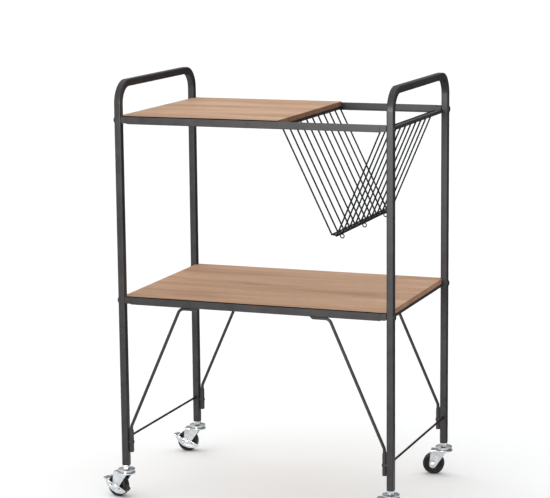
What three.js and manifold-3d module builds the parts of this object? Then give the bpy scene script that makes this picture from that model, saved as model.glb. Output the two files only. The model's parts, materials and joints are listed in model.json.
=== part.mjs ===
// Kitchen trolley: two bent square-tube end frames, two shelves of wood on steel angle frames,
// a wire basket hung in the upper shelf, four braces and four swivel casters, two of them braked.
// Millimetres. X runs left to right, Y front to back, Z up from the floor.

import * as THREE from "three";
import { mergeVertices } from "three/addons/utils/BufferGeometryUtils.js";
import Module from "manifold-3d";

// Overall sizes of the frame. Heights of its parts are counted from the lower ends of the posts.
const frameWidth = 515;
const frameDepth = 344;
const frameHeight = 698;
const casterHeight = 60.3;

// Clearances: between pieces that are fitted together, and round a shaft that turns.
const fitGap = 0.3;
const runningGap = 0.04;
const cutOverrun = 2;

// Square tube of the end frames.
const tubeSide = 12.7;
const tubeWall = 1.4;
const tubeCorner = 2;
const handleBend = 42;
const crossRodDiameter = 4;
const crossRodHeight = 49.3;

// Shelf frames: angle rails front and back, flat strips under the boards' ends.
const lowerShelfHeight = 298.8;
const upperShelfDrop = 75.9;
const railHeight = 13;
const railDepth = 13;
const railWall = 1.5;
const railCorner = 1;
const stripWidth = 8;
const stripInset = 9.6;
const nutBlockLength = 12.4;
const nutBlockDepth = 13.8;
const nutBlockLap = 1;
const nutBlockRise = 1.2;
const nutBlockWall = 1.4;
const nutBlockCorner = 3;

// Boards.
const boardThickness = 9;
const boardProud = 2;
const boardEdge = 0.6;
const boardMargin = 0.5;
const boardSupportInset = 2;

// Wire basket.
const wireDiameter = 3;
const wireCount = 11;
const wireInset = 17;
const basketEndGap = 26.9;
const basketWidth = 178.8;
const basketDrop = 183.8;
const basketFootWidth = 9.4;
const basketLean = 11;
const basketBoardGap = 0.8;
const basketBend = 5;
const keelDiameter = 4.2;
const keelDrop = 1.2;
const eyeDiameter = 9;
const eyeWire = 2;
const eyeStep = 4;

// Braces between the lower shelf and the posts.
const braceDiameter = 5.6;
const braceReach = 140.8;
const braceKneeReach = 104.8;
const braceBend = 12;
const braceKneeHeight = 73;
const footTop = 67.5;
const footBase = 25.2;
const footWidth = 5.6;
const footDepth = 7;
const footWebWidth = 2.6;
const footWebDepth = 3;
const footChamfer = 2.4;

// Screws.
const shelfScrewHead = 11.5;
const shelfScrewHeadHeight = 2.3;
const shelfScrewShank = 5;
const shelfScrewReach = 10;
const braceScrewHead = 6.6;
const braceScrewHeadHeight = 1.4;
const braceScrewShank = 3.5;
const braceScrewReach = 7;
const braceScrewHeight = 44;
const boardScrewHead = 6;
const boardScrewHeadHeight = 1.6;
const boardScrewShank = 3;
const boardScrewReach = 6;
const boardScrewInset = 72;

// Casters: insert and stem above, fork, wheel and axle below.
const plugHeight = 22;
const plugHead = 1.2;
const plugHeadInset = 0.3;
const stemDiameter = 6;
const stemHeight = 18;
const hexWidth = 12.6;
const hexHeight = 5.2;
const raceDiameter = 31;
const raceRise = 4;
const raceRim = 2.2;
const ballRingDiameter = 25;
const ballRingHeight = 3.4;
const neckDiameter = 8;
const neckHead = 11;
const neckHeadHeight = 1.3;
const crownDiameter = 32.5;
const crownThickness = 1.6;
const casterTrail = 19;
const wheelDiameter = 40;
const wheelWidth = 15;
const axleDiameter = 5;
const axleHead = 8.4;
const axleHeadHeight = 1.5;
const forkInside = 16.6;
const forkWall = 1.6;
const forkCorner = 2.6;
const forkBack = 4.5;
const forkFront = 25.6;
const forkFrontDrop = 2.4;
const forkTail = 7.8;
const forkTailDiameter = 12.2;
const forkTailBack = 0.6;
const leverWall = 1.2;
const leverSlack = 0.4;
const leverRib = 0.8;

// Rest directions of the four casters, in degrees from the trolley's left towards its front.
const casterTurns = { front_left: -13, back_left: 7, front_right: 9, back_right: 9 };

// Facets of the round pieces.
const rodSides = 8;
const wireSides = 6;
const boreSides = 8;
const screwSides = 8;
const headSides = 10;
const headSteps = 3;
const wheelSides = 20;
const crownSides = 16;
const eyeSides = 8;
const bendSteps = 4;
const cornerSteps = 2;

// Places that follow from the sizes above.
const postX = frameWidth / 2 - tubeSide / 2;
const postY = frameDepth / 2 - tubeSide / 2;
const postInsideX = frameWidth / 2 - tubeSide;
const postInsideY = frameDepth / 2 - tubeSide;
const upperShelfHeight = frameHeight - upperShelfDrop;
const boardEndX = frameWidth / 2 - stripInset;
const stripHeight = railHeight + boardProud - boardThickness;
const nutBlockTop = railHeight / 2 + shelfScrewShank / 2 + nutBlockWall;
const axleHeight = wheelDiameter / 2;
const hexBase = casterHeight - hexHeight;
const raceBase = hexBase - raceRise;
const crownTop = raceBase - ballRingHeight - fitGap;
const crownBase = crownTop - crownThickness;
const boardScrewSpread = frameDepth / 2 - boardScrewInset;
const wirePitch = (frameDepth - 2 * wireInset) / (wireCount - 1);
const basketTop = casterHeight + upperShelfHeight + railWall + wireDiameter / 2;
const basketFoot = basketTop - basketDrop;
const basketRightTop = frameWidth / 2 - basketEndGap;
const basketLeftTop = basketRightTop - basketWidth;
const basketLeftFoot = basketLeftTop + (basketWidth - basketFootWidth + basketLean) / 2;
const basketRightFoot = basketLeftFoot + basketFootWidth;
const upperBoardRight = basketLeftTop - wireDiameter / 2 - basketBoardGap;

const paint = { color: 0x4b4a4c, roughness: 0.55, metalness: 0.35 };
const wood = { color: 0xb98d66, roughness: 0.5, metalness: 0 };
const zinc = { color: 0xb9bcc0, roughness: 0.3, metalness: 0.9 };
const blackPlastic = { color: 0x1d1d1f, roughness: 0.5, metalness: 0 };

const wasm = await Module();
wasm.setup();

// A closed geometry as a solid that can be joined and cut.
function solidFrom(geometry) {
  const bare = geometry.clone();
  bare.deleteAttribute("normal");
  bare.deleteAttribute("uv");
  const merged = mergeVertices(bare);
  return new wasm.Manifold(
    new wasm.Mesh({
      numProp: 3,
      vertProperties: merged.getAttribute("position").array,
      triVerts: new Uint32Array(merged.index.array),
    }),
  );
}

// A cut or joined solid as a flat-shaded geometry.
function geometryFrom(solid) {
  const { vertProperties, triVerts } = solid.getMesh();
  const shared = new THREE.BufferGeometry();
  shared.setAttribute("position", new THREE.BufferAttribute(vertProperties, 3));
  shared.setIndex(new THREE.BufferAttribute(triVerts, 1));
  const flat = shared.toNonIndexed();
  flat.computeVertexNormals();
  return flat;
}

// Joins the first geometries and cuts the second ones from them.
function shaped(joined, cuts = []) {
  let solid = solidFrom(joined[0]);
  for (const geometry of joined.slice(1)) solid = solid.add(solidFrom(geometry));
  for (const geometry of cuts) solid = solid.subtract(solidFrom(geometry));
  return geometryFrom(solid);
}

// What two geometries have in common.
function common(first, second) {
  return geometryFrom(solidFrom(first).intersect(solidFrom(second)));
}

function piece(name, geometry, finish) {
  const mesh = new THREE.Mesh(geometry, new THREE.MeshStandardMaterial(finish));
  mesh.name = name;
  return mesh;
}

// The centre line of a bent rod: straight runs joined by round bends, given by its corners.
class BentLine extends THREE.Curve {
  constructor(corners, bendRadius, steps = bendSteps) {
    super();
    this.places = [];
    this.headings = [];
    const last = corners.length - 1;
    const heading = (from) => corners[from + 1].clone().sub(corners[from]).normalize();
    this.station(corners[0], heading(0));
    for (let i = 1; i < last; i += 1) {
      const before = heading(i - 1);
      const after = heading(i);
      const turn = before.angleTo(after);
      const inward = after.clone().addScaledVector(before, -before.dot(after)).normalize();
      const start = corners[i].clone().addScaledVector(before, -bendRadius * Math.tan(turn / 2));
      for (let step = 0; step <= steps; step += 1) {
        const angle = (turn * step) / steps;
        const place = start.clone().addScaledVector(before, bendRadius * Math.sin(angle));
        place.addScaledVector(inward, bendRadius - bendRadius * Math.cos(angle));
        const along = before.clone().multiplyScalar(Math.cos(angle));
        this.station(place, along.addScaledVector(inward, Math.sin(angle)));
      }
    }
    this.station(corners[last], heading(last - 1));
  }

  station(place, heading) {
    this.places.push(place);
    this.headings.push(heading);
  }

  // The stations are the steps of the sweep, so a share of the length is a share of their count.
  getUtoTmapping(share) {
    return share;
  }

  getPoint(share, target = new THREE.Vector3()) {
    return target.copy(this.places[Math.round(share * (this.places.length - 1))]);
  }

  getTangent(share, target = new THREE.Vector3()) {
    return target.copy(this.headings[Math.round(share * (this.headings.length - 1))]);
  }
}

function swept(section, line) {
  const steps = line.places.length - 1;
  return new THREE.ExtrudeGeometry(section, { steps, extrudePath: line, curveSegments: cornerSteps });
}

// A round section as a regular polygon whose corners lie on the circle.
function roundSection(diameter, sides) {
  const points = [];
  for (let i = 0; i < sides; i += 1) {
    const angle = (2 * Math.PI * (i + 1 / 2)) / sides;
    points.push(new THREE.Vector2(Math.cos(angle), Math.sin(angle)).multiplyScalar(diameter / 2));
  }
  return new THREE.Shape(points);
}

// A rectangle with round corners, centred on the origin.
function roundedRectangle(width, height, corner) {
  const x = width / 2 - corner;
  const y = height / 2 - corner;
  const path = new THREE.Shape();
  path.absarc(x, y, corner, 0, Math.PI / 2);
  path.absarc(-x, y, corner, Math.PI / 2, Math.PI);
  path.absarc(-x, -y, corner, Math.PI, (3 * Math.PI) / 2);
  path.absarc(x, -y, corner, (3 * Math.PI) / 2, 2 * Math.PI);
  path.closePath();
  return path;
}

function squarePath(side) {
  const reach = side / 2;
  const corners = [[-reach, -reach], [reach, -reach], [reach, reach], [-reach, reach]];
  return new THREE.Path(corners.map(([x, y]) => new THREE.Vector2(x, y)));
}

function polygon(points) {
  return new THREE.Shape(points.map(([x, y]) => new THREE.Vector2(x, y)));
}

function extruded(shape, depth) {
  return new THREE.ExtrudeGeometry(shape, { depth, bevelEnabled: false, curveSegments: cornerSteps });
}

// A shape drawn in Y and Z, drawn out along X.
function alongX(shape, from, to) {
  const turn = new THREE.Matrix4().makeBasis(
    new THREE.Vector3(0, 1, 0),
    new THREE.Vector3(0, 0, 1),
    new THREE.Vector3(1, 0, 0),
  );
  return extruded(shape, to - from).applyMatrix4(turn).translate(from, 0, 0);
}

// A shape drawn in X and Z, drawn out along Y.
function alongY(shape, from, to) {
  return extruded(shape, to - from).rotateX(Math.PI / 2).translate(0, to, 0);
}

// A shape drawn in X and Y, drawn out along Z.
function alongZ(shape, from, to) {
  return extruded(shape, to - from).translate(0, 0, from);
}

function block(low, high) {
  const size = high.map((end, i) => end - low[i]);
  const middle = high.map((end, i) => (end + low[i]) / 2);
  return new THREE.BoxGeometry(...size).translate(...middle);
}

// The corners of a polygon whose flats clear a shaft by the given gap.
function boreDiameter(shaft, gap, sides) {
  return (shaft + 2 * gap) / Math.cos(Math.PI / sides);
}

// A turned piece about Z. The profile lists radius and height from the bottom up.
function turned(profile, sides) {
  const points = profile.map(([radius, height]) => new THREE.Vector2(radius, height));
  return new THREE.LatheGeometry(points, sides).rotateX(Math.PI / 2);
}

// The round rim of a domed head, from its edge to its crown.
function dome(radius, base, height) {
  const points = [];
  for (let i = 0; i <= headSteps; i += 1) {
    const angle = (Math.PI / 2) * (i / headSteps);
    const share = i === headSteps ? 0 : Math.cos(angle);
    points.push([radius * share, base + height * Math.sin(angle)]);
  }
  return points;
}

// A screw along Z with its head's underside at zero, its shank below and its head above.
function screw(headProfile, shank, reach, sides) {
  return turned([[0, -reach], [shank / 2, -reach], [shank / 2, 0], ...headProfile], sides);
}

// A flat screw head with a sloping rim.
function panHead(radius, height) {
  return [[radius, 0], [radius - height / 2, height], [0, height]];
}

// A cylinder to drill with, along X.
function drillX(diameter, from, to, y, z) {
  return alongX(roundSection(diameter, boreSides), from, to).translate(0, y, z);
}

// End frame: one tube bent twice, with holes for the screws of the shelves and the brace feet.
function endFrame(name, side) {
  const x = side * postX;
  const base = casterHeight + plugHead;
  const top = casterHeight + frameHeight - tubeSide / 2;
  const corners = [
    new THREE.Vector3(x, -postY, base),
    new THREE.Vector3(x, -postY, top),
    new THREE.Vector3(x, postY, top),
    new THREE.Vector3(x, postY, base),
  ];
  const section = roundedRectangle(tubeSide, tubeSide, tubeCorner);
  const boreSide = tubeSide - 2 * tubeWall;
  section.holes.push(squarePath(boreSide));
  const tube = swept(section, new BentLine(corners, handleBend - tubeSide / 2));
  const shelfHole = boreDiameter(shelfScrewShank, fitGap, boreSides);
  const footHole = boreDiameter(braceScrewShank, fitGap, boreSides);
  const cuts = [];
  for (const y of [-postY, postY]) {
    for (const shelf of [lowerShelfHeight, upperShelfHeight]) {
      const z = casterHeight + shelf + railHeight / 2;
      cuts.push(drillX(shelfHole, x - tubeSide / 2 - cutOverrun, x + tubeSide / 2 + cutOverrun, y, z));
    }
    const ends = [side * (postInsideX - cutOverrun), side * (postInsideX + tubeWall + cutOverrun)];
    ends.sort((a, b) => a - b);
    cuts.push(drillX(footHole, ends[0], ends[1], y, casterHeight + braceScrewHeight));
  }
  return piece(name, shaped([tube], cuts), paint);
}

function crossRod(name, side) {
  const section = roundSection(crossRodDiameter, rodSides);
  const rod = alongY(section, -postInsideY, postInsideY);
  return piece(name, rod.translate(side * postX, 0, casterHeight + crossRodHeight), paint);
}

// Angle rail at the front or back of a shelf, with a nut block at each end for the post's screws.
// The block is low enough to go under the board, and only its outer wall is as high as the rail.
function railPieces(base, front) {
  const start = postInsideX - nutBlockLength;
  const end = start + nutBlockLap;
  const outside = frameDepth / 2;
  const angle = new THREE.Shape();
  angle.moveTo(-outside + railDepth, base);
  angle.lineTo(-outside + railDepth, base + railWall);
  angle.lineTo(-outside + railWall, base + railWall);
  angle.lineTo(-outside + railWall, base + railHeight);
  angle.lineTo(-outside, base + railHeight);
  angle.lineTo(-outside, base + railCorner);
  angle.absarc(-outside + railCorner, base + railCorner, railCorner, Math.PI, (3 * Math.PI) / 2);
  angle.closePath();
  const pieces = [alongX(angle, -end, end)];
  const blockBase = base + nutBlockRise;
  const layers = [
    [nutBlockTop, nutBlockDepth],
    [railHeight, railWall],
  ];
  for (const [top, depth] of layers) {
    const layer = new THREE.Shape();
    layer.moveTo(start, blockBase);
    layer.lineTo(postInsideX - nutBlockCorner, blockBase);
    const centre = [postInsideX - nutBlockCorner, blockBase + nutBlockCorner];
    layer.absarc(...centre, nutBlockCorner, -Math.PI / 2, 0);
    layer.lineTo(postInsideX, base + top);
    layer.lineTo(start, base + top);
    layer.closePath();
    const right = alongY(layer, -outside, -outside + depth);
    pieces.push(right, right.clone().rotateZ(Math.PI).translate(0, depth - 2 * outside, 0));
  }
  return front ? pieces : pieces.map((part) => part.clone().rotateZ(Math.PI));
}

// Shelf frame: two angle rails, strips front to back under the board, and drilled nut blocks.
function shelfFrame(name, shelf) {
  const base = casterHeight + shelf.height;
  const joined = [...railPieces(base, true), ...railPieces(base, false)];
  for (const x of shelf.strips) {
    const beside = Math.abs(x) + stripWidth / 2 > postInsideX;
    const reach = beside ? postInsideY - fitGap : frameDepth / 2 - railDepth / 2;
    joined.push(block([x - stripWidth / 2, -reach, base], [x + stripWidth / 2, reach, base + stripHeight]));
  }
  const cuts = [];
  const hole = boreDiameter(shelfScrewShank, fitGap, boreSides);
  for (const y of [-postY, postY]) {
    for (const side of [-1, 1]) {
      const ends = [side * (postInsideX - shelfScrewReach), side * (postInsideX + cutOverrun)];
      ends.sort((a, b) => a - b);
      cuts.push(drillX(hole, ends[0], ends[1], y, base + railHeight / 2));
    }
  }
  const screwHole = alongZ(
    roundSection(boreDiameter(boardScrewShank, fitGap, boreSides), boreSides),
    base - cutOverrun,
    base + stripHeight + cutOverrun,
  );
  for (const x of shelf.boardStrips) {
    for (const y of [-boardScrewSpread, boardScrewSpread]) cuts.push(screwHole.clone().translate(x, y, 0));
  }
  return piece(name, shaped(joined, cuts), paint);
}

// Board with corners cut out round the posts, and pockets from below over the nut blocks. Its edges
// are slightly broken.
function board(name, shelf, right, cutCorners) {
  const left = -boardEndX;
  const depth = frameDepth / 2 - railWall - boardMargin;
  const base = casterHeight + shelf.height + stripHeight;
  const pocketTop = casterHeight + shelf.height + nutBlockTop + boardMargin;
  const notches = [
    [tubeSide, tubeSide, base + boardThickness + cutOverrun],
    [tubeSide + nutBlockLength, nutBlockDepth, pocketTop],
  ];
  const outline = polygon([
    [left + boardEdge, -depth + boardEdge],
    [right - boardEdge, -depth + boardEdge],
    [right - boardEdge, depth - boardEdge],
    [left + boardEdge, depth - boardEdge],
  ]);
  const panel = new THREE.ExtrudeGeometry(outline, {
    depth: boardThickness - 2 * boardEdge,
    bevelThickness: boardEdge,
    bevelSize: boardEdge,
    bevelSegments: 1,
  }).translate(0, 0, base + boardEdge);
  const cuts = [];
  for (const side of cutCorners) {
    for (const end of [-1, 1]) {
      for (const [length, width, top] of notches) {
        const inner = [frameWidth / 2 - length - boardMargin, frameDepth / 2 - width - boardMargin];
        const xs = [side * inner[0], side * (postX + cutOverrun)].sort((a, b) => a - b);
        const ys = [end * inner[1], end * (depth + cutOverrun)].sort((a, b) => a - b);
        cuts.push(block([xs[0], ys[0], base - cutOverrun], [xs[1], ys[1], top]));
      }
    }
  }
  const pilot = alongZ(
    roundSection(boreDiameter(boardScrewShank, fitGap, boreSides), boreSides),
    base - cutOverrun,
    base + boardScrewReach + fitGap,
  );
  for (const x of shelf.boardStrips) {
    for (const y of [-boardScrewSpread, boardScrewSpread]) cuts.push(pilot.clone().translate(x, y, 0));
  }
  return piece(name, shaped([panel], cuts), wood);
}

// Y places of the basket's wires.
function wirePlaces() {
  return Array.from({ length: wireCount }, (_, i) => (i - (wireCount - 1) / 2) * wirePitch);
}

// A straight round rod front to back.
function rodAlongY(diameter, sides, reach, x, z) {
  return alongY(roundSection(diameter, sides), -reach, reach).translate(x, 0, z);
}

// The upper wires lie on the rails' flanges and end just inside the rails.
function topWireReach() {
  return frameDepth / 2 - railWall - boardMargin;
}

// Left side of the basket: sloping wires between two long ones.
function basketLeft() {
  const reach = wirePlaces()[wireCount - 1];
  const joined = [
    rodAlongY(wireDiameter, wireSides, topWireReach(), basketLeftTop, basketTop),
    rodAlongY(wireDiameter, wireSides, reach, basketLeftFoot, basketFoot),
  ];
  for (const y of wirePlaces()) {
    const line = new BentLine(
      [new THREE.Vector3(basketLeftTop, y, basketTop), new THREE.Vector3(basketLeftFoot, y, basketFoot)],
      basketBend,
    );
    joined.push(swept(roundSection(wireDiameter, wireSides), line));
  }
  return piece("basket_left_side", shaped(joined), paint);
}

// Right side of the basket: sloping wires bent flat at the foot, on a thicker keel wire with eyes.
function basketRight() {
  const keel = [basketRightFoot - keelDrop, basketFoot - keelDrop];
  const reach = wirePlaces()[wireCount - 1];
  const joined = [
    rodAlongY(wireDiameter, wireSides, topWireReach(), basketRightTop, basketTop),
    rodAlongY(keelDiameter, rodSides, reach + wireDiameter / 2, ...keel),
  ];
  for (const y of wirePlaces()) {
    const corners = [
      new THREE.Vector3(basketRightTop, y, basketTop),
      new THREE.Vector3(basketRightFoot, y, basketFoot),
      new THREE.Vector3(basketLeftFoot + wireDiameter / 2 + fitGap, y, basketFoot),
    ];
    joined.push(swept(roundSection(wireDiameter, wireSides), new BentLine(corners, basketBend, 3)));
  }
  const eyeDrop = keelDiameter / 2 + eyeDiameter / 2 - eyeWire / 2;
  const ring = new THREE.TorusGeometry((eyeDiameter - eyeWire) / 2, eyeWire / 2, wireSides, eyeSides);
  ring.rotateX(Math.PI / 2);
  for (const y of [-eyeStep * wirePitch, 0, eyeStep * wirePitch]) {
    joined.push(ring.clone().translate(keel[0], y, keel[1] - eyeDrop));
  }
  return piece("basket_right_side", shaped(joined), paint);
}

// Brace: a rod from under the lower rail down to a foot on the post's inner face.
function brace(name, side, end) {
  const y = end * postY;
  const railUnder = casterHeight + lowerShelfHeight - braceDiameter / 2;
  const footX = postInsideX - footWebWidth - footWidth / 2;
  const corners = [
    new THREE.Vector3(postInsideX - braceReach, y, railUnder),
    new THREE.Vector3(postInsideX - braceKneeReach, y, railUnder),
    new THREE.Vector3(footX, y, casterHeight + braceKneeHeight),
    new THREE.Vector3(footX, y, casterHeight + footTop - footChamfer),
  ];
  const rod = swept(roundSection(braceDiameter, rodSides), new BentLine(corners, braceBend, 4));
  const inner = footX - footWidth / 2;
  const outer = footX + footWidth / 2;
  const bar = alongY(
    polygon([
      [inner, casterHeight + footBase],
      [outer, casterHeight + footBase],
      [outer, casterHeight + footTop],
      [inner + footChamfer, casterHeight + footTop],
      [inner, casterHeight + footTop - footChamfer],
    ]),
    y - footDepth / 2,
    y + footDepth / 2,
  );
  const web = block(
    [outer - footWebWidth, y - footWebDepth / 2, casterHeight + footBase],
    [postInsideX, y + footWebDepth / 2, casterHeight + footTop],
  );
  const boss = drillX(footDepth, outer - footWebWidth, postInsideX, y, casterHeight + braceScrewHeight);
  const hole = drillX(
    boreDiameter(braceScrewShank, fitGap, boreSides),
    inner - cutOverrun,
    postInsideX + cutOverrun,
    y,
    casterHeight + braceScrewHeight,
  );
  const bevel = new THREE.BoxGeometry(braceDiameter * 2, braceDiameter * 2, braceDiameter * 2)
    .translate(-braceDiameter, 0, 0)
    .rotateY(-Math.PI / 4)
    .translate(postInsideX - braceReach + braceDiameter / 2, y, railUnder);
  const geometry = shaped([rod, bar, web, boss], [hole, bevel]);
  if (side < 0) geometry.rotateZ(Math.PI).translate(0, 2 * y, 0);
  return piece(name, geometry, paint);
}

// Points a screw made along Z towards the left or the right.
function facingX(geometry, side) {
  return geometry.rotateY((side * Math.PI) / 2);
}

function shelfScrew(name, side, end, shelf) {
  const reach = tubeSide + shelfScrewReach - fitGap;
  const head = dome(shelfScrewHead / 2, 0, shelfScrewHeadHeight);
  const geometry = screw(head, shelfScrewShank, reach, headSides);
  const z = casterHeight + shelf + railHeight / 2;
  return piece(name, facingX(geometry, side).translate(side * frameWidth / 2, end * postY, z), paint);
}

function braceScrew(name, side, end) {
  const reach = footWidth + footWebWidth + braceScrewReach;
  const head = panHead(braceScrewHead / 2, braceScrewHeadHeight);
  const geometry = screw(head, braceScrewShank, reach, screwSides);
  const x = side * (postInsideX - footWebWidth - footWidth);
  const z = casterHeight + braceScrewHeight;
  return piece(name, facingX(geometry, -side).translate(x, end * postY, z), paint);
}

function boardScrew(name, shelf, x, y) {
  const reach = stripHeight + boardScrewReach;
  const head = panHead(boardScrewHead / 2, boardScrewHeadHeight);
  const geometry = screw(head, boardScrewShank, reach, screwSides);
  return piece(name, geometry.rotateX(Math.PI).translate(x, y, casterHeight + shelf), zinc);
}

// Caster insert: a square plug inside the post with a thin head under the tube's end.
function casterInsert(name) {
  const head = tubeSide - 2 * plugHeadInset;
  const body = tubeSide - 2 * tubeWall - 2 * fitGap;
  const cap = alongZ(roundedRectangle(head, head, tubeCorner), 0, plugHead);
  const plug = block([-body / 2, -body / 2, 0], [body / 2, body / 2, plugHeight]);
  const bore = alongZ(
    roundSection(boreDiameter(stemDiameter, fitGap, boreSides), boreSides),
    -cutOverrun,
    plugHeight + cutOverrun,
  );
  return piece(name, shaped([plug, cap], [bore]).translate(0, 0, casterHeight), blackPlastic);
}

// Stem: threaded shank, hexagon, dished upper race, the ring that holds its balls, and the riveted
// neck that the fork turns on.
function casterStem(name) {
  const neckBase = crownBase - fitGap - neckHeadHeight;
  const body = turned(
    [
      [0, neckBase],
      [neckHead / 2 - neckHeadHeight / 2, neckBase],
      [neckHead / 2, neckBase + neckHeadHeight / 2],
      [neckHead / 2, neckBase + neckHeadHeight],
      [neckDiameter / 2, neckBase + neckHeadHeight],
      [neckDiameter / 2, crownTop + fitGap],
      [ballRingDiameter / 2, crownTop + fitGap],
      [ballRingDiameter / 2, raceBase],
      [raceDiameter / 2, raceBase],
      [raceDiameter / 2, raceBase + raceRim],
      [raceDiameter / 3, hexBase - raceRim / 4],
      [raceDiameter / 4, hexBase],
      [stemDiameter / 2, hexBase],
      [stemDiameter / 2, casterHeight + stemHeight],
      [0, casterHeight + stemHeight],
    ],
    crownSides,
  );
  const hexRadius = hexWidth / 2 / Math.cos(Math.PI / 6);
  const hex = new THREE.CylinderGeometry(hexRadius, hexRadius, hexHeight, 6).rotateX(Math.PI / 2);
  hex.translate(0, 0, hexBase + hexHeight / 2);
  return piece(name, shaped([body, hex]), zinc);
}

// Fork, drawn with its trail along +X: a folded channel cut to the legs' outline, under a round crown.
function casterFork(name) {
  const outsideY = forkInside / 2 + forkWall;
  const tail = [casterTrail + forkTailBack, axleHeight - forkTail + forkTailDiameter / 2];
  const back = casterTrail + forkBack;
  const front = casterTrail - forkFront;
  const channel = new THREE.Shape();
  channel.moveTo(-outsideY, 0);
  channel.lineTo(-outsideY, crownTop - forkCorner);
  channel.absarc(-outsideY + forkCorner, crownTop - forkCorner, forkCorner, Math.PI, Math.PI / 2, true);
  channel.absarc(outsideY - forkCorner, crownTop - forkCorner, forkCorner, Math.PI / 2, 0, true);
  channel.lineTo(outsideY, 0);
  channel.lineTo(forkInside / 2, 0);
  channel.lineTo(forkInside / 2, crownTop - forkCorner);
  const inner = forkCorner - forkWall;
  channel.absarc(forkInside / 2 - inner, crownTop - forkCorner, inner, 0, Math.PI / 2);
  channel.absarc(-forkInside / 2 + inner, crownTop - forkCorner, inner, Math.PI / 2, Math.PI);
  channel.lineTo(-forkInside / 2, 0);
  channel.closePath();
  const leg = new THREE.Shape();
  leg.moveTo(front, crownTop + cutOverrun);
  leg.lineTo(front, crownTop - forkFrontDrop);
  const run = [tail[0] - front, crownTop - forkFrontDrop - tail[1]];
  const lean = Math.atan2(run[0], run[1]) - Math.asin(forkTailDiameter / 2 / Math.hypot(...run));
  leg.absarc(...tail, forkTailDiameter / 2, Math.PI + lean, 2 * Math.PI);
  leg.lineTo(back, crownTop + cutOverrun);
  leg.closePath();
  const folded = common(
    alongX(channel, front - cutOverrun, tail[0] + forkTailDiameter),
    alongY(leg, -outsideY - cutOverrun, outsideY + cutOverrun),
  );
  const crown = alongZ(roundSection(crownDiameter, crownSides), crownTop - crownThickness, crownTop);
  const neck = roundSection(boreDiameter(neckDiameter, runningGap, crownSides), crownSides);
  const neckHole = alongZ(neck, crownBase - forkWall, crownTop + cutOverrun);
  const axle = roundSection(boreDiameter(axleDiameter, fitGap, boreSides), boreSides);
  const axleHole = alongY(axle, -outsideY - cutOverrun, outsideY + cutOverrun);
  axleHole.translate(casterTrail, 0, axleHeight);
  return piece(name, shaped([folded, crown], [neckHole, axleHole]), zinc);
}

// Axle rivet with a domed head at each end, along Y. Its reach is half its length between the heads.
function casterAxle(name, reach) {
  const head = dome(axleHead / 2, reach, axleHeadHeight);
  const mirrored = head.map(([radius, height]) => [radius, -height]).reverse();
  const shank = [[axleDiameter / 2, -reach], [axleDiameter / 2, reach]];
  const geometry = turned([...mirrored, ...shank, ...head], boreSides);
  return piece(name, geometry.rotateX(Math.PI / 2).translate(casterTrail, 0, axleHeight), zinc);
}

// Wheel: a moulded disc with a rounded tread, a recessed web with a raised ring, and a hub.
function casterWheel(name) {
  const wheelRadius = wheelDiameter / 2 / Math.cos(Math.PI / wheelSides);
  const half = wheelWidth / 2;
  const bore = boreDiameter(axleDiameter, runningGap, wheelSides) / 2;
  const shoulder = wheelWidth / 6;
  const faceShares = [
    [0.34, 1],
    [0.36, 0.8],
    [0.54, 0.8],
    [0.6, 0.92],
    [0.66, 0.8],
    [0.8, 0.8],
    [0.82, 1],
  ];
  const face = faceShares.map(([radius, width]) => [radius * wheelRadius, width * half]);
  const tread = [[wheelRadius, half - shoulder]];
  const upper = [[bore, half], ...face, ...tread];
  const lower = upper.map(([radius, height]) => [radius, -height]);
  const profile = [...lower, ...upper.reverse(), lower[0]];
  const geometry = turned(profile, wheelSides).rotateZ(Math.PI / wheelSides).rotateX(Math.PI / 2);
  return piece(name, geometry.translate(casterTrail, 0, axleHeight), blackPlastic);
}

// Brake lever: two boat-shaped cheeks outside the fork's legs, joined by a foot pedal.
function brakeLever(name) {
  const inside = forkInside / 2 + forkWall + leverSlack;
  const outside = inside + leverWall;
  const radius = wheelDiameter / 2;
  const outlineShares = [
    [1.38, 0.66],
    [1.11, 0.42],
    [0.86, -0.05],
    [0.45, -0.41],
    [-0.1, -0.62],
    [-0.72, -0.64],
    [-1.23, -0.4],
    [-1.15, -0.29],
    [-0.5, 0.02],
    [0.25, 0.27],
    [0.94, 0.56],
  ];
  const outline = outlineShares.map(([x, z]) => [casterTrail + x * radius, axleHeight + z * radius]);
  const cheek = polygon(outline);
  const ribShares = [
    [0.86, 0.4],
    [0.68, -0.02],
    [0.32, -0.32],
    [-0.1, -0.48],
    [-0.7, -0.5],
    [-0.7, -0.4],
    [-0.12, -0.38],
    [0.24, -0.22],
    [0.56, 0.06],
    [0.74, 0.42],
  ];
  const rib = polygon(ribShares.map(([x, z]) => [casterTrail + x * radius, axleHeight + z * radius]));
  const pedalShares = [
    [1.38, 0.66],
    [1.34, 0.61],
    [1.02, 0.51],
    [0.99, 0.578],
  ];
  const pedal = polygon(pedalShares.map(([x, z]) => [casterTrail + x * radius, axleHeight + z * radius]));
  const joined = [alongY(pedal, -outside, outside)];
  for (const side of [-1, 1]) {
    const wall = [side * inside, side * outside].sort((a, b) => a - b);
    joined.push(alongY(cheek, wall[0], wall[1]));
    const crest = [side * inside, side * (outside + leverRib)].sort((a, b) => a - b);
    joined.push(alongY(rib, crest[0], crest[1]));
  }
  const axle = roundSection(boreDiameter(axleDiameter, runningGap, boreSides), boreSides);
  const reach = outside + leverRib + cutOverrun;
  const hole = alongY(axle, -reach, reach).translate(casterTrail, 0, axleHeight);
  return piece(name, shaped(joined, [hole]), zinc);
}

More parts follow.
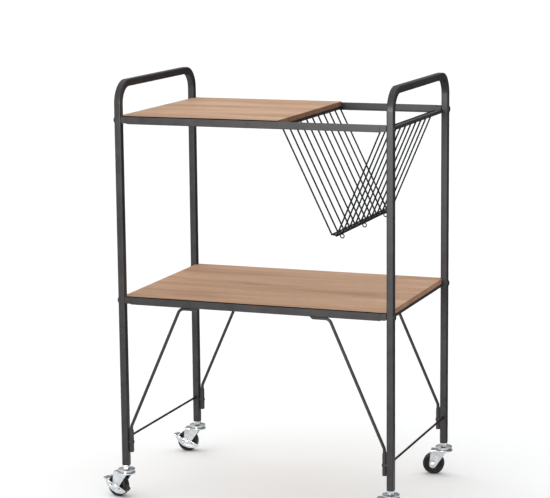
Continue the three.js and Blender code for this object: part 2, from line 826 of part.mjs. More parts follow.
// One caster under a post, its trail turned from the left towards the front by its rest angle.
function caster(corner, side, end, braked) {
  const group = new THREE.Group();
  group.position.set(side * postX, end * postY, 0);
  group.add(casterInsert(`caster_insert_${corner}`), casterStem(`caster_stem_${corner}`));
  const swivel = new THREE.Group();
  swivel.rotation.z = Math.PI + THREE.MathUtils.degToRad(casterTurns[corner]);
  const cheeks = braked ? leverSlack + leverWall : 0;
  swivel.add(
    casterFork(`caster_fork_${corner}`),
    casterWheel(`caster_wheel_${corner}`),
    casterAxle(`caster_axle_${corner}`, forkInside / 2 + forkWall + cheeks + fitGap),
  );
  if (braked) swivel.add(brakeLever(`brake_lever_${corner}`));
  group.add(swivel);
  return group;
}

const trolley = new THREE.Group();
const sides = { left: -1, right: 1 };
const ends = { front: -1, back: 1 };
const endStrips = [-boardEndX + stripWidth / 2, boardEndX - stripWidth / 2];
const boardSupport = upperBoardRight - boardSupportInset - stripWidth / 2;
const shelves = {
  lower: { height: lowerShelfHeight, strips: endStrips, boardStrips: endStrips },
  upper: {
    height: upperShelfHeight,
    strips: [...endStrips, boardSupport],
    boardStrips: [endStrips[0], boardSupport],
  },
};

for (const [sideName, side] of Object.entries(sides)) {
  trolley.add(endFrame(`end_frame_${sideName}`, side), crossRod(`cross_rod_${sideName}`, side));
}

trolley.add(
  shelfFrame("lower_shelf_frame", shelves.lower),
  shelfFrame("upper_shelf_frame", shelves.upper),
  board("lower_board", shelves.lower, boardEndX, [-1, 1]),
  board("upper_board", shelves.upper, upperBoardRight, [-1]),
  basketLeft(),
  basketRight(),
);

for (const [shelfName, shelf] of Object.entries(shelves)) {
  shelf.boardStrips.forEach((x, i) => {
    const place = i === 0 ? "left" : "right";
    for (const [endName, end] of Object.entries(ends)) {
      const name = `${shelfName}_board_screw_${endName}_${place}`;
      trolley.add(boardScrew(name, shelf.height, x, end * boardScrewSpread));
    }
  });
}

for (const [endName, end] of Object.entries(ends)) {
  for (const [sideName, side] of Object.entries(sides)) {
    const corner = `${endName}_${sideName}`;
    trolley.add(brace(`brace_${corner}`, side, end), braceScrew(`brace_screw_${corner}`, side, end));
    for (const [shelfName, shelf] of Object.entries(shelves)) {
      trolley.add(shelfScrew(`${shelfName}_shelf_screw_${corner}`, side, end, shelf.height));
    }
    trolley.add(caster(corner, side, end, sideName === "left"));
  }
}

// The origin is on the floor, at the middle of everything that stands on it.
const footprint = new THREE.Box3().setFromObject(trolley, true);
const middle = footprint.getCenter(new THREE.Vector3());
trolley.position.set(-middle.x, -middle.y, -footprint.min.z);

export default trolley;
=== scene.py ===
"""Kitchen trolley: the looks of its tube frames, boards, wire basket, braces and casters.

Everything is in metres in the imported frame: X to the trolley's right, Y to its back, Z up from
the floor. Sizes are given in millimetres in the dataclasses and turned into metres by MM.
"""

import json
import logging
from dataclasses import dataclass, field
from enum import Enum
from math import asin, atan2, cos, pi, radians, sin, tan
from typing import Any, Callable, Iterable

import bmesh
import bpy
from bmesh.types import BMEdge, BMFace, BMVert
from mathutils import Matrix, Vector


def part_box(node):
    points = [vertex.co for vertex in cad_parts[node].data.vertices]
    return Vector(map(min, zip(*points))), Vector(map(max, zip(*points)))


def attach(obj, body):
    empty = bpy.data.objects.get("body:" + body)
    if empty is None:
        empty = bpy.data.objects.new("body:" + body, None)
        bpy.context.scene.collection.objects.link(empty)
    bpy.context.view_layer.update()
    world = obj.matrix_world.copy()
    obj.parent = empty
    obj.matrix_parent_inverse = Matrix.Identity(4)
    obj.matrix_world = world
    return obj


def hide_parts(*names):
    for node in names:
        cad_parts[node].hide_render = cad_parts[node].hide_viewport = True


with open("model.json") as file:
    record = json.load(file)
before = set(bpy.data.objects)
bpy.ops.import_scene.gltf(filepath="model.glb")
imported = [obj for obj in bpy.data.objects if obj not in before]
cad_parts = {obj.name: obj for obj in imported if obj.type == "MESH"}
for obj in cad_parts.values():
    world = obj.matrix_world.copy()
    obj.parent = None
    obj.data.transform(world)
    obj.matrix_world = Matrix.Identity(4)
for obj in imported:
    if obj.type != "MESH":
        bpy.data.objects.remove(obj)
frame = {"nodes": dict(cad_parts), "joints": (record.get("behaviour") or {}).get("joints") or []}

MM = 0.001
NEAR = MM / 100
MERGED = MM / 1000
FLAT = radians(1)
SHARP = radians(40)
SQUARE = 0.99
EDGE_ON = 0.05
STEEP = 60.0
LOG = logging.getLogger("kitchen_trolley")

Triple = tuple[float, float, float]
Colour = Triple
Inputs = dict[str | int, Any]
Outline = list[tuple[float, float]]
Shares = tuple[tuple[float, float], ...]
Socket = bpy.types.NodeSocket
Tree = bpy.types.NodeTree


class Corner(Enum):
    """The four corners of the trolley."""

    FRONT_LEFT = "front_left"
    FRONT_RIGHT = "front_right"
    BACK_LEFT = "back_left"
    BACK_RIGHT = "back_right"

    @property
    def side(self) -> int:
        """-1 on the left, 1 on the right."""
        return -1 if self.value.endswith("left") else 1

    @property
    def braked(self) -> bool:
        """Only the two left casters have brakes."""
        return self.side < 0


class Slot(Enum):
    """Material slots of the record."""

    PAINT = "paint"
    WOOD = "wood"
    ZINC = "zinc"
    PLASTIC = "black_plastic"


# Shader groups and finishes


class Graph:
    """A node tree being filled, with short calls to add nodes and link them."""

    def __init__(self, tree: Tree) -> None:
        """Keeps the tree that is filled."""
        self.tree = tree

    def feed(self, value: Any, socket: Socket) -> None:
        """Links a socket or sets it.

        Args:
            value: Another socket, or a plain value.
            socket: The socket that takes it.
        """
        if isinstance(value, bpy.types.NodeSocket):
            self.tree.links.new(value, socket)
        else:
            socket.default_value = value

    def add(self, kind: str, inputs: Inputs | None = None, **settings: Any) -> bpy.types.Node:
        """Adds one node.

        Args:
            kind: The node's type name.
            inputs: Values for its sockets, or sockets to link to them.
            settings: Values for its own properties.

        Returns:
            The node.
        """
        node = self.tree.nodes.new(kind)
        for name, value in settings.items():
            setattr(node, name, value)
        for name, value in (inputs or {}).items():
            self.feed(value, node.inputs[name])
        return node

    def math(self, operation: str, first: Socket, second: Socket) -> Socket:
        """Adds, subtracts or multiplies two numbers."""
        return self.add("ShaderNodeMath", {0: first, 1: second}, operation=operation).outputs[0]

    def dot(self, vector: Socket, way: Vector) -> Socket:
        """How far a vector goes a given way."""
        inputs = {0: vector, 1: way}
        return self.add("ShaderNodeVectorMath", inputs, operation="DOT_PRODUCT").outputs["Value"]

    def noise(self, place: Socket, scale: Any, detail: float, bend: float = 0.0) -> Socket:
        """A noise from 0 to 1."""
        inputs = {"Vector": place, "Scale": scale, "Detail": detail, "Distortion": bend}
        return self.add("ShaderNodeTexNoise", inputs).outputs["Fac"]

    def ramp(self, factor: Socket, stops: list[tuple[float, Colour]]) -> Socket:
        """Adds a colour ramp.

        Args:
            factor: The socket that drives it.
            stops: Places from 0 to 1 and their colours.

        Returns:
            The ramp's colour socket.
        """
        node = self.add("ShaderNodeValToRGB", {"Fac": factor})
        elements = node.color_ramp.elements
        while len(elements) < len(stops):
            elements.new(0.5)
        for element, (place, colour) in zip(elements, stops):
            element.position = place
            element.color = (*colour, 1)
        return node.outputs["Color"]

    def span(
        self,
        value: Socket,
        low: float = 0.0,
        high: float = 1.0,
        to_low: float = 0.0,
        to_high: float = 1.0,
    ) -> Socket:
        """Maps a value from one range to another and holds it there.

        Args:
            value: The socket to map.
            low: The range's start.
            high: The range's end.
            to_low: What the start becomes.
            to_high: What the end becomes.

        Returns:
            The mapped socket.
        """
        sizes = {"From Min": low, "From Max": high, "To Min": to_low, "To Max": to_high}
        return self.add("ShaderNodeMapRange", {"Value": value, **sizes}).outputs["Result"]

    def blend(self, factor: Any, first: Any, second: Any) -> Socket:
        """Mixes two colours.

        Args:
            factor: A number or socket from 0 to 1.
            first: The colour at 0, or its socket.
            second: The colour at 1, or its socket.

        Returns:
            The mixed colour's socket.
        """
        node = self.add("ShaderNodeMix", data_type="RGBA")
        inputs = {socket.identifier: socket for socket in node.inputs}
        self.feed(factor, inputs["Factor_Float"])
        for name, value in (("A_Color", first), ("B_Color", second)):
            self.feed((*value, 1) if isinstance(value, tuple) else value, inputs[name])
        return next(socket for socket in node.outputs if socket.identifier == "Result_Color")


Fill = Callable[[Graph, bpy.types.NodeOutputs], dict[str, Socket]]


def shared_group(name: str, takes: dict[str, float], fill: Fill) -> Tree:
    """A shader node group, built on its first use.

    Args:
        name: The group's name.
        takes: Its number inputs, each with its default. Its first input is always a place.
        fill: Adds its nodes, from the inner sockets of the inputs, and names what it puts out.

    Returns:
        The group's tree.
    """
    tree = bpy.data.node_groups.get(name)
    if tree is not None:
        return tree
    tree = bpy.data.node_groups.new(name, "ShaderNodeTree")
    tree.interface.new_socket(name="Vector", in_out="INPUT", socket_type="NodeSocketVector")
    for socket, value in takes.items():
        made = tree.interface.new_socket(
            name=socket, in_out="INPUT", socket_type="NodeSocketFloat"
        )
        made.default_value = value
    results = fill(Graph(tree), tree.nodes.new("NodeGroupInput").outputs)
    for socket in results:
        tree.interface.new_socket(name=socket, in_out="OUTPUT", socket_type="NodeSocketFloat")
    target = tree.nodes.new("NodeGroupOutput")
    for socket, value in results.items():
        tree.links.new(value, target.inputs[socket])
    return tree


def cloud_group() -> Tree:
    """Slow patches over a surface, from 0 to 1, for tone and gloss.

    Returns:
        The group's tree.
    """

    def fill(graph: Graph, takes: bpy.types.NodeOutputs) -> dict[str, Socket]:
        """One noise with its contrast drawn out."""
        noise = graph.noise(takes["Vector"], takes["Scale"], detail=3.0)
        return {"Mask": graph.span(noise, low=0.32, high=0.68)}

    return shared_group("cloud", {"Scale": 30.0}, fill)


def skin_group() -> Tree:
    """The fine pebbled skin of a baked powder coat or a moulding, as a height.

    Returns:
        The group's tree.
    """

    def fill(graph: Graph, takes: bpy.types.NodeOutputs) -> dict[str, Socket]:
        """Soft cells under a finer noise.

        Args:
            graph: The group's graph.
            takes: Its inner inputs.

        Returns:
            What the group puts out.
        """
        place = {"Vector": takes["Vector"], "Scale": takes["Scale"]}
        cells = graph.add("ShaderNodeTexVoronoi", place).outputs["Distance"]
        noise = graph.noise(takes["Vector"], takes["Scale"], detail=4.0)
        return {"Height": graph.math("ADD", cells, noise)}

    return shared_group("skin", {"Scale": 900.0}, fill)


def dust_group() -> Tree:
    """Thin dust where a surface looks up, broken by patches.

    Returns:
        The group's tree.
    """

    def fill(graph: Graph, takes: bpy.types.NodeOutputs) -> dict[str, Socket]:
        """The normal's upward share times a patchy mask.

        Args:
            graph: The group's graph.
            takes: Its inner inputs.

        Returns:
            What the group puts out.
        """
        normal = graph.add("ShaderNodeNewGeometry").outputs["Normal"]
        parts = graph.add("ShaderNodeSeparateXYZ", {"Vector": normal})
        upward = graph.span(parts.outputs["Z"], low=0.3)
        noise = graph.noise(takes["Vector"], scale=60.0, detail=5.0)
        broken = graph.span(noise, low=0.35, high=0.75, to_low=0.25)
        mask = graph.math("MULTIPLY", upward, broken)
        return {"Mask": graph.math("MULTIPLY", mask, takes["Amount"])}

    return shared_group("dust", {"Amount": 0.1}, fill)


def grain_group() -> Tree:
    """Wood grain that runs along X: broad bands, fine fibres and short open pores.

    Returns:
        The group's tree.
    """

    def fill(graph: Graph, takes: bpy.types.NodeOutputs) -> dict[str, Socket]:
        """Three noises, each drawn out along the board by its own amount.

        Args:
            graph: The group's graph.
            takes: Its inner inputs.

        Returns:
            What the group puts out.
        """

        def drawn(along: float, across: float, detail: float, bend: float = 0.0) -> Socket:
            """A noise whose patches are long along X."""
            inputs = {"Vector": takes["Vector"], "Scale": (along, across, across)}
            scaled = graph.add("ShaderNodeMapping", inputs).outputs["Vector"]
            return graph.noise(scaled, 1.0, detail, bend)

        bands = drawn(along=2.6, across=26.0, detail=3.0, bend=0.6)
        fibres = drawn(along=9.0, across=520.0, detail=4.0, bend=0.15)
        pores = drawn(along=70.0, across=1500.0, detail=1.0)
        return {
            "Bands": graph.span(bands, low=0.3, high=0.7),
            "Fibres": graph.span(fibres, low=0.3, high=0.7),
            "Pores": graph.span(pores, low=0.60, high=0.72),
        }

    return shared_group("grain", {}, fill)


class Surface(Graph):
    """The node tree of a new material, with its shader and its Object coordinates."""

    def __init__(self, name: str, values: dict[str, float]) -> None:
        """Starts the material.

        Args:
            name: The material's name.
            values: What the shader's own sockets have all over the surface.
        """
        self.material = bpy.data.materials.new(name)
        self.material.use_nodes = True
        super().__init__(self.material.node_tree)
        self.shader = self.tree.nodes["Principled BSDF"]
        for socket, value in values.items():
            self.feed(value, self.shader.inputs[socket])
        self.place = self.add("ShaderNodeTexCoord").outputs["Object"]

    def use(self, group: Tree, **inputs: float) -> bpy.types.NodeOutputs:
        """Places a shared group on the Object coordinates and gives its outputs."""
        taken = {"Vector": self.place, **inputs}
        return self.add("ShaderNodeGroup", taken, node_tree=group).outputs

    def dress(
        self, colour: Socket, gloss: Socket, height: Socket, bump: tuple[float, float]
    ) -> bpy.types.Material:
        """Feeds the shader.

        Args:
            colour: The surface's colour.
            gloss: Its roughness.
            height: Its height from 0 to 1.
            bump: The bump's strength, and what a height of 1 stands for.

        Returns:
            The finished material.
        """
        relief = {"Height": height, "Strength": bump[0], "Distance": bump[1]}
        normal = self.add("ShaderNodeBump", relief).outputs["Normal"]
        for name, value in (("Base Color", colour), ("Roughness", gloss), ("Normal", normal)):
            self.feed(value, self.shader.inputs[name])
        return self.material


@dataclass(frozen=True)
class Coating:
    """A finish of two near tones in patches over a fine skin, with dust where it looks up."""

    name: str
    dark: Colour
    light: Colour
    roughness: tuple[float, float]
    patches: float
    pebbles: float
    bump: tuple[float, float]
    dust: Colour = (0.30, 0.29, 0.28)
    dust_amount: float = 0.0
    metallic: float = 0.0
    sheen: float = 0.5

    def material(self) -> bpy.types.Material:
        """Makes the finish.

        Returns:
            Its material.
        """
        values = {"Metallic": self.metallic, "Specular IOR Level": self.sheen}
        surface = Surface(self.name, values)
        cloud = surface.use(cloud_group(), Scale=self.patches)["Mask"]
        skin = surface.use(skin_group(), Scale=self.pebbles)["Height"]
        colour = surface.blend(cloud, self.dark, self.light)
        if self.dust_amount:
            dust = surface.use(dust_group(), Amount=self.dust_amount)["Mask"]
            colour = surface.blend(dust, colour, self.dust)
        least, most = self.roughness
        gloss = surface.span(cloud, to_low=least, to_high=most)
        return surface.dress(colour, gloss, skin, self.bump)


@dataclass(frozen=True)
class PowderCoat(Coating):
    """Satin anthracite powder coat on steel."""

    name: str = "powder_coat"
    dark: Colour = (0.0237, 0.0211, 0.0220)
    light: Colour = (0.0372, 0.0332, 0.0345)
    roughness: tuple[float, float] = (0.34, 0.44)
    patches: float = 45.0
    pebbles: float = 1100.0
    bump: tuple[float, float] = (0.25, 0.06 * MM)
    dust_amount: float = 0.06
    sheen: float = 0.36


@dataclass(frozen=True)
class ZincPlate(Coating):
    """Bright zinc plate on pressed steel."""

    name: str = "zinc_plate"
    dark: Colour = (0.56, 0.59, 0.61)
    light: Colour = (0.76, 0.795, 0.82)
    roughness: tuple[float, float] = (0.14, 0.26)
    patches: float = 160.0
    pebbles: float = 1400.0
    bump: tuple[float, float] = (0.12, 0.03 * MM)
    metallic: float = 1.0


@dataclass(frozen=True)
class MouldedPlastic(Coating):
    """Black moulded plastic, with a little dust where it looks up."""

    name: str = "moulded_plastic"
    dark: Colour = (0.0075, 0.0075, 0.008)
    light: Colour = (0.015, 0.015, 0.016)
    roughness: tuple[float, float] = (0.34, 0.48)
    patches: float = 120.0
    pebbles: float = 1600.0
    bump: tuple[float, float] = (0.2, 0.04 * MM)
    dust: Colour = (0.20, 0.19, 0.18)
    dust_amount: float = 0.05
    sheen: float = 0.25


@dataclass(frozen=True)
class WoodLaminate:
    """Wood laminate with its grain along X, for a board's faces or for its edges."""

    name: str = "wood_laminate"
    deep: Colour = (0.290, 0.140, 0.068)
    warm: Colour = (0.520, 0.313, 0.188)
    pale: Colour = (0.720, 0.480, 0.318)
    pore: Colour = (0.210, 0.100, 0.050)
    band_middle: float = 0.45
    fibre_middle: float = 0.5
    fibre_share: float = 0.5
    patches: float = 9.0
    patch_share: float = 0.22
    pore_share: float = 0.6
    roughness: tuple[float, float] = (0.42, 0.55)
    bump: tuple[float, float] = (0.25, 0.05 * MM)
    sheen: float = 0.2
    coat: float = 0.02
    coat_roughness: float = 0.35

    def material(self) -> bpy.types.Material:
        """Makes the finish.

        Returns:
            Its material.
        """
        values = {
            "Specular IOR Level": self.sheen,
            "Coat Weight": self.coat,
            "Coat Roughness": self.coat_roughness,
        }
        surface = Surface(self.name, values)
        grain = surface.use(grain_group())
        cloud = surface.use(cloud_group(), Scale=self.patches)["Mask"]
        bands, fibres = (
            surface.ramp(grain[name], [(0.0, self.deep), (at, self.warm), (1.0, self.pale)])
            for name, at in (("Bands", self.band_middle), ("Fibres", self.fibre_middle))
        )
        streaked = surface.blend(self.fibre_share, bands, fibres)
        patch = surface.span(cloud, to_high=self.patch_share)
        clouded = surface.blend(patch, streaked, self.warm)
        pores = surface.span(grain["Pores"], to_high=self.pore_share)
        pored = surface.blend(pores, clouded, self.pore)
        least, most = self.roughness
        gloss = surface.span(grain["Fibres"], to_low=least, to_high=most)
        height = surface.math("SUBTRACT", grain["Fibres"], grain["Pores"])
        return surface.dress(pored, gloss, height, self.bump)


class Finishes:
    """The trolley's materials, each made once."""

    def __init__(self) -> None:
        """Makes the materials."""
        self.paint = PowderCoat().material()
        # The same powder coat in a darker copy for the thin wires and cross rods: painted shade.
        self.wire = PowderCoat(
            name="powder_coat_wire_painted_shade",
            dark=(0.0100, 0.0095, 0.0100),
            light=(0.0170, 0.0160, 0.0168),
            sheen=0.14,
        ).material()
        self.wood = WoodLaminate().material()
        self.edge = WoodLaminate(
            name="wood_edge_band",
            deep=(0.140, 0.062, 0.035),
            warm=(0.235, 0.118, 0.072),
            pale=(0.310, 0.170, 0.108),
        ).material()
        # A paler copy of the end band for the lower board: painted light, since its ends look
        # lighter than the upper board's.
        self.edge_painted_light = WoodLaminate(
            name="wood_edge_band_painted_light",
            deep=(0.210, 0.098, 0.055),
            warm=(0.350, 0.186, 0.112),
            pale=(0.460, 0.265, 0.168),
        ).material()
        # The long edges in a near-black copy: painted shade, for the dark line between the board
        # and the rail.
        self.long_edge_painted_shade = WoodLaminate(
            name="wood_long_edge_painted_shade",
            deep=(0.012, 0.008, 0.006),
            warm=(0.020, 0.013, 0.010),
            pale=(0.030, 0.020, 0.015),
            pore=(0.008, 0.005, 0.004),
            sheen=0.05,
            coat=0.0,
        ).material()
        self.zinc = ZincPlate().material()
        self.rivet = ZincPlate(name="zinc_rivet", roughness=(0.42, 0.52)).material()
        self.plastic = MouldedPlastic().material()
        self.tread = MouldedPlastic(
            name="wheel_tread",
            dark=(0.014, 0.014, 0.015),
            light=(0.028, 0.028, 0.030),
        ).material()


# Forms


class Form:
    """One closed form in the making, shaped by bmesh operators."""

    def __init__(self) -> None:
        """Starts empty."""
        self.bm = bmesh.new()

    @classmethod
    def start(cls, operator: Callable[..., Any], **settings: Any) -> "Form":
        """Starts from what a bmesh operator makes.

        Args:
            operator: The operator.
            settings: Its values.

        Returns:
            The form.
        """
        form = cls()
        operator(form.bm, **settings)
        return form

    @classmethod
    def box(cls, low: Vector, high: Vector) -> "Form":
        """A box between two corners."""
        place = Matrix.Translation((low + high) / 2) @ Matrix.Diagonal((*(high - low), 1))
        return cls.start(bmesh.ops.create_cube, size=1.0).place(place)

    @classmethod
    def disc(cls, diameter: float, sides: int) -> "Form":
        """A flat round face on the XY plane."""
        circle = {"cap_ends": True, "segments": sides, "radius": diameter / 2}
        return cls.start(bmesh.ops.create_circle, **circle)

    @classmethod
    def bead(cls, centre: Vector, reach: Vector) -> "Form":
        """A weld bead: a flattened ball about its centre."""
        ball = cls.start(bmesh.ops.create_icosphere, subdivisions=2, radius=1.0)
        return ball.place(Matrix.Translation(centre) @ Matrix.Diagonal((*reach, 1)))

    @classmethod
    def tile(cls, width: float, depth: float, corner: float, steps: int = 4) -> "Form":
        """A flat rectangle on the XY plane with round corners.

        Args:
            width: Its size along X.
            depth: Its size along Y.
            corner: How far the rounding of its corners reaches.
            steps: Facets of a corner.

        Returns:
            The form.
        """
        form = cls.start(bmesh.ops.create_grid, x_segments=1, y_segments=1, size=0.5)
        form.place(Matrix.Diagonal((width, depth, 1, 1)))
        return form.bevelled(form.bm.verts[:], corner, steps, "VERTICES")

    @classmethod
    def outline(cls, points: Iterable[Vector]) -> "Form":
        """A flat face.

        Args:
            points: Its corners.

        Returns:
            The form.
        """
        form = cls()
        form.bm.faces.new([form.bm.verts.new(point) for point in points])
        form.bm.normal_update()
        return form

    @classmethod
    def turned(cls, profile: Outline, sides: int) -> "Form":
        """A form turned about Z.

        Args:
            profile: Radius and height of its corners, in metres. A ring repeats its first one.
            sides: Facets round it.

        Returns:
            The closed form.
        """
        form = cls()
        rim = [form.bm.verts.new((radius, 0, height)) for radius, height in profile]
        for pair in zip(rim, rim[1:]):
            form.bm.edges.new(pair)
        return form.spun(sides)

    @classmethod
    def ring(cls, diameter: float, wire: float, sides: int, steps: int) -> "Form":
        """A wire ring about Z.

        Args:
            diameter: Its outer diameter.
            wire: The wire's diameter.
            sides: Facets round the wire.
            steps: Facets round the ring.

        Returns:
            The closed form.
        """
        circle = {"cap_ends": False, "segments": sides, "radius": wire / 2}
        beside = Matrix.Translation(((diameter - wire) / 2, 0, 0)) @ Matrix.Rotation(pi / 2, 4, "X")
        return cls.start(bmesh.ops.create_circle, **circle).place(beside).spun(steps)

    def place(self, matrix: Matrix) -> "Form":
        """Moves, turns or scales the whole form."""
        bmesh.ops.transform(self.bm, matrix=matrix, verts=self.bm.verts[:])
        return self

    def top(self) -> BMFace:
        """The highest face."""
        return max(self.bm.faces, key=lambda face: face.calc_center_median().z)

    def mesh(self, name: str) -> bpy.types.Mesh:
        """Turns the form into a mesh and ends it.

        Args:
            name: The mesh's name.

        Returns:
            The mesh.
        """
        mesh = bpy.data.meshes.new(name)
        self.bm.to_mesh(mesh)
        self.bm.free()
        return mesh

    def faced(self) -> "Form":
        """Points the faces of a closed form outwards."""
        bmesh.ops.recalc_face_normals(self.bm, faces=self.bm.faces[:])
        return self

    def spun(self, steps: int) -> "Form":
        """Turns the section that is drawn beside Z once round it.

        Args:
            steps: Facets of the turn.

        Returns:
            The closed form.
        """
        bmesh.ops.spin(
            self.bm,
            geom=[*self.bm.verts, *self.bm.edges],
            cent=(0, 0, 0),
            axis=(0, 0, 1),
            dvec=(0, 0, 0),
            angle=2 * pi,
            steps=steps,
            use_merge=True,
        )
        bmesh.ops.remove_doubles(self.bm, verts=self.bm.verts[:], dist=MERGED)
        return self.faced()

    def drawn(self, region: Iterable[Any], by: Vector) -> list[Any]:
        """Extrudes a region.

        Args:
            region: Its faces, edges and vertices.
            by: Where it goes.

        Returns:
            The faces, edges and vertices at the new place.
        """
        made = bmesh.ops.extrude_face_region(self.bm, geom=list(region))["geom"]
        verts = [item for item in made if isinstance(item, BMVert)]
        bmesh.ops.translate(self.bm, vec=by, verts=verts)
        return made

    def grow(self, face: BMFace, by: Vector) -> BMFace:
        """Draws one face out and gives the face at the new end."""
        made = self.drawn([face, *face.edges, *face.verts], by)
        return next(item for item in made if isinstance(item, BMFace))

    def thicken(self, by: Vector) -> "Form":
        """Draws a flat form out into a closed one."""
        self.drawn([*self.bm.faces, *self.bm.edges, *self.bm.verts], by)
        return self.faced()

    def follow(self, corners: list[Vector], bend: float = 0.0, steps: int = 6) -> "Form":
        """Draws a flat section on the XY plane along a bent line.

        Args:
            corners: The corners of the centre line.
            bend: The radius of its bends.
            steps: Facets of a bend.

        Returns:
            The closed form.
        """
        face = next(iter(self.bm.faces))
        heading = (corners[1] - corners[0]).normalized()
        turn = Vector((0, 0, 1)).rotation_difference(heading).to_matrix().to_4x4()
        self.place(Matrix.Translation(corners[0]) @ turn)
        here = corners[0]
        for before, at, after in zip(corners, corners[1:], corners[2:]):
            heading = (at - before).normalized()
            leaving = (after - at).normalized()
            angle = heading.angle(leaving)
            start = at - heading * bend * tan(angle / 2)
            face = self.grow(face, start - here)
            inward = (leaving - heading * heading.dot(leaving)).normalized()
            made = bmesh.ops.spin(
                self.bm,
                geom=[face, *face.edges, *face.verts],
                cent=start + inward * bend,
                axis=heading.cross(leaving).normalized(),
                dvec=(0, 0, 0),
                angle=angle,
                steps=steps,
            )
            face = next(item for item in made["geom_last"] if isinstance(item, BMFace))
            here = at + leaving * bend * tan(angle / 2)
        self.grow(face, corners[-1] - here)
        return self.faced()

    def bevelled(self, parts: list[Any], offset: float, steps: int, affect: str) -> "Form":
        """Rounds the given edges, or the given corners of a flat face.

        Args:
            parts: The edges or vertices.
            offset: How far the rounding reaches.
            steps: Its facets.
            affect: "EDGES" or "VERTICES".

        Returns:
            The form.
        """
        bmesh.ops.bevel(
            self.bm,
            geom=parts,
            offset=offset,
            offset_type="OFFSET",
            segments=steps,
            profile=0.5,
            affect=affect,
            material=-1,
            clamp_overlap=True,
        )
        return self

    def rounded(
        self,
        offset: float,
        steps: int = 2,
        above: float = 30.0,
        where: Callable[[BMEdge], bool] | None = None,
    ) -> "Form":
        """Rounds the sharp edges.

        Args:
            offset: How far the rounding reaches from each edge.
            steps: Its facets.
            above: The least angle between an edge's faces, in degrees.
            where: Picks among those edges.

        Returns:
            The form.
        """
        edges = [
            edge
            for edge in self.bm.edges
            if edge.is_manifold
            and edge.calc_face_angle() > radians(above)
            and (where is None or where(edge))
        ]
        return self.bevelled(edges, offset, steps, "EDGES")

    def merge_flat(self, among: Iterable[BMEdge]) -> None:
        """Dissolves those of the given edges that lie within one flat face."""
        flat = [edge for edge in among if edge.is_manifold and edge.calc_face_angle() < FLAT]
        bmesh.ops.dissolve_edges(self.bm, edges=flat, use_verts=True)

    def sunk(self, face: BMFace, rim: float, depth: float) -> BMFace:
        """Insets a face and sinks it along its normal.

        Args:
            face: The face.
            rim: The width of the rim that stays.
            depth: How far it sinks.

        Returns:
            The inner face.
        """
        normal = face.normal.copy()
        bmesh.ops.inset_region(self.bm, faces=[face], thickness=rim, use_even_offset=True)
        return self.grow(face, normal * -depth)


def middle(low: Vector, high: Vector) -> Vector:
    """The middle of a box."""
    return (low + high) / 2


def on(
    edge: BMEdge, x: float | None = None, y: float | None = None, z: float | None = None
) -> bool:
    """Whether both ends of an edge lie on the given planes."""
    planes = [(axis, place) for axis, place in enumerate((x, y, z)) if place is not None]
    return all(abs(vert.co[axis] - place) < NEAR for vert in edge.verts for axis, place in planes)


# Casters


@dataclass(frozen=True)
class CasterSizes:
    """Sizes that a caster's pieces share. X runs from the swivel's axis, Z from the floor."""

    height: float = 60.3 * MM
    hexagon_height: float = 5.2 * MM
    race_rise: float = 4.0 * MM
    ball_ring: float = 25.0 * MM
    ball_ring_height: float = 3.4 * MM
    neck: float = 8.0 * MM
    plate: float = 1.6 * MM
    inside: float = 16.6 * MM
    trail: float = 19.0 * MM
    wheel: float = 40.0 * MM
    axle: float = 5.0 * MM
    gap: float = 0.3 * MM
    play: float = 0.04 * MM
    sides: int = 64

    @property
    def hexagon_base(self) -> float:
        """Height of the hexagon's underside."""
        return self.height - self.hexagon_height

    @property
    def race_base(self) -> float:
        """Height of the upper race's underside."""
        return self.hexagon_base - self.race_rise

    @property
    def crown_top(self) -> float:
        """Height of the fork's crown."""
        return self.race_base - self.ball_ring_height - self.gap

    @property
    def outside(self) -> float:
        """Half the fork's width over its legs."""
        return self.inside / 2 + self.plate

    @property
    def hub(self) -> Matrix:
        """Turns what is drawn about Z onto the axle."""
        return Matrix.Translation((self.trail, 0, self.wheel / 2)) @ Matrix.Rotation(pi / 2, 4, "X")


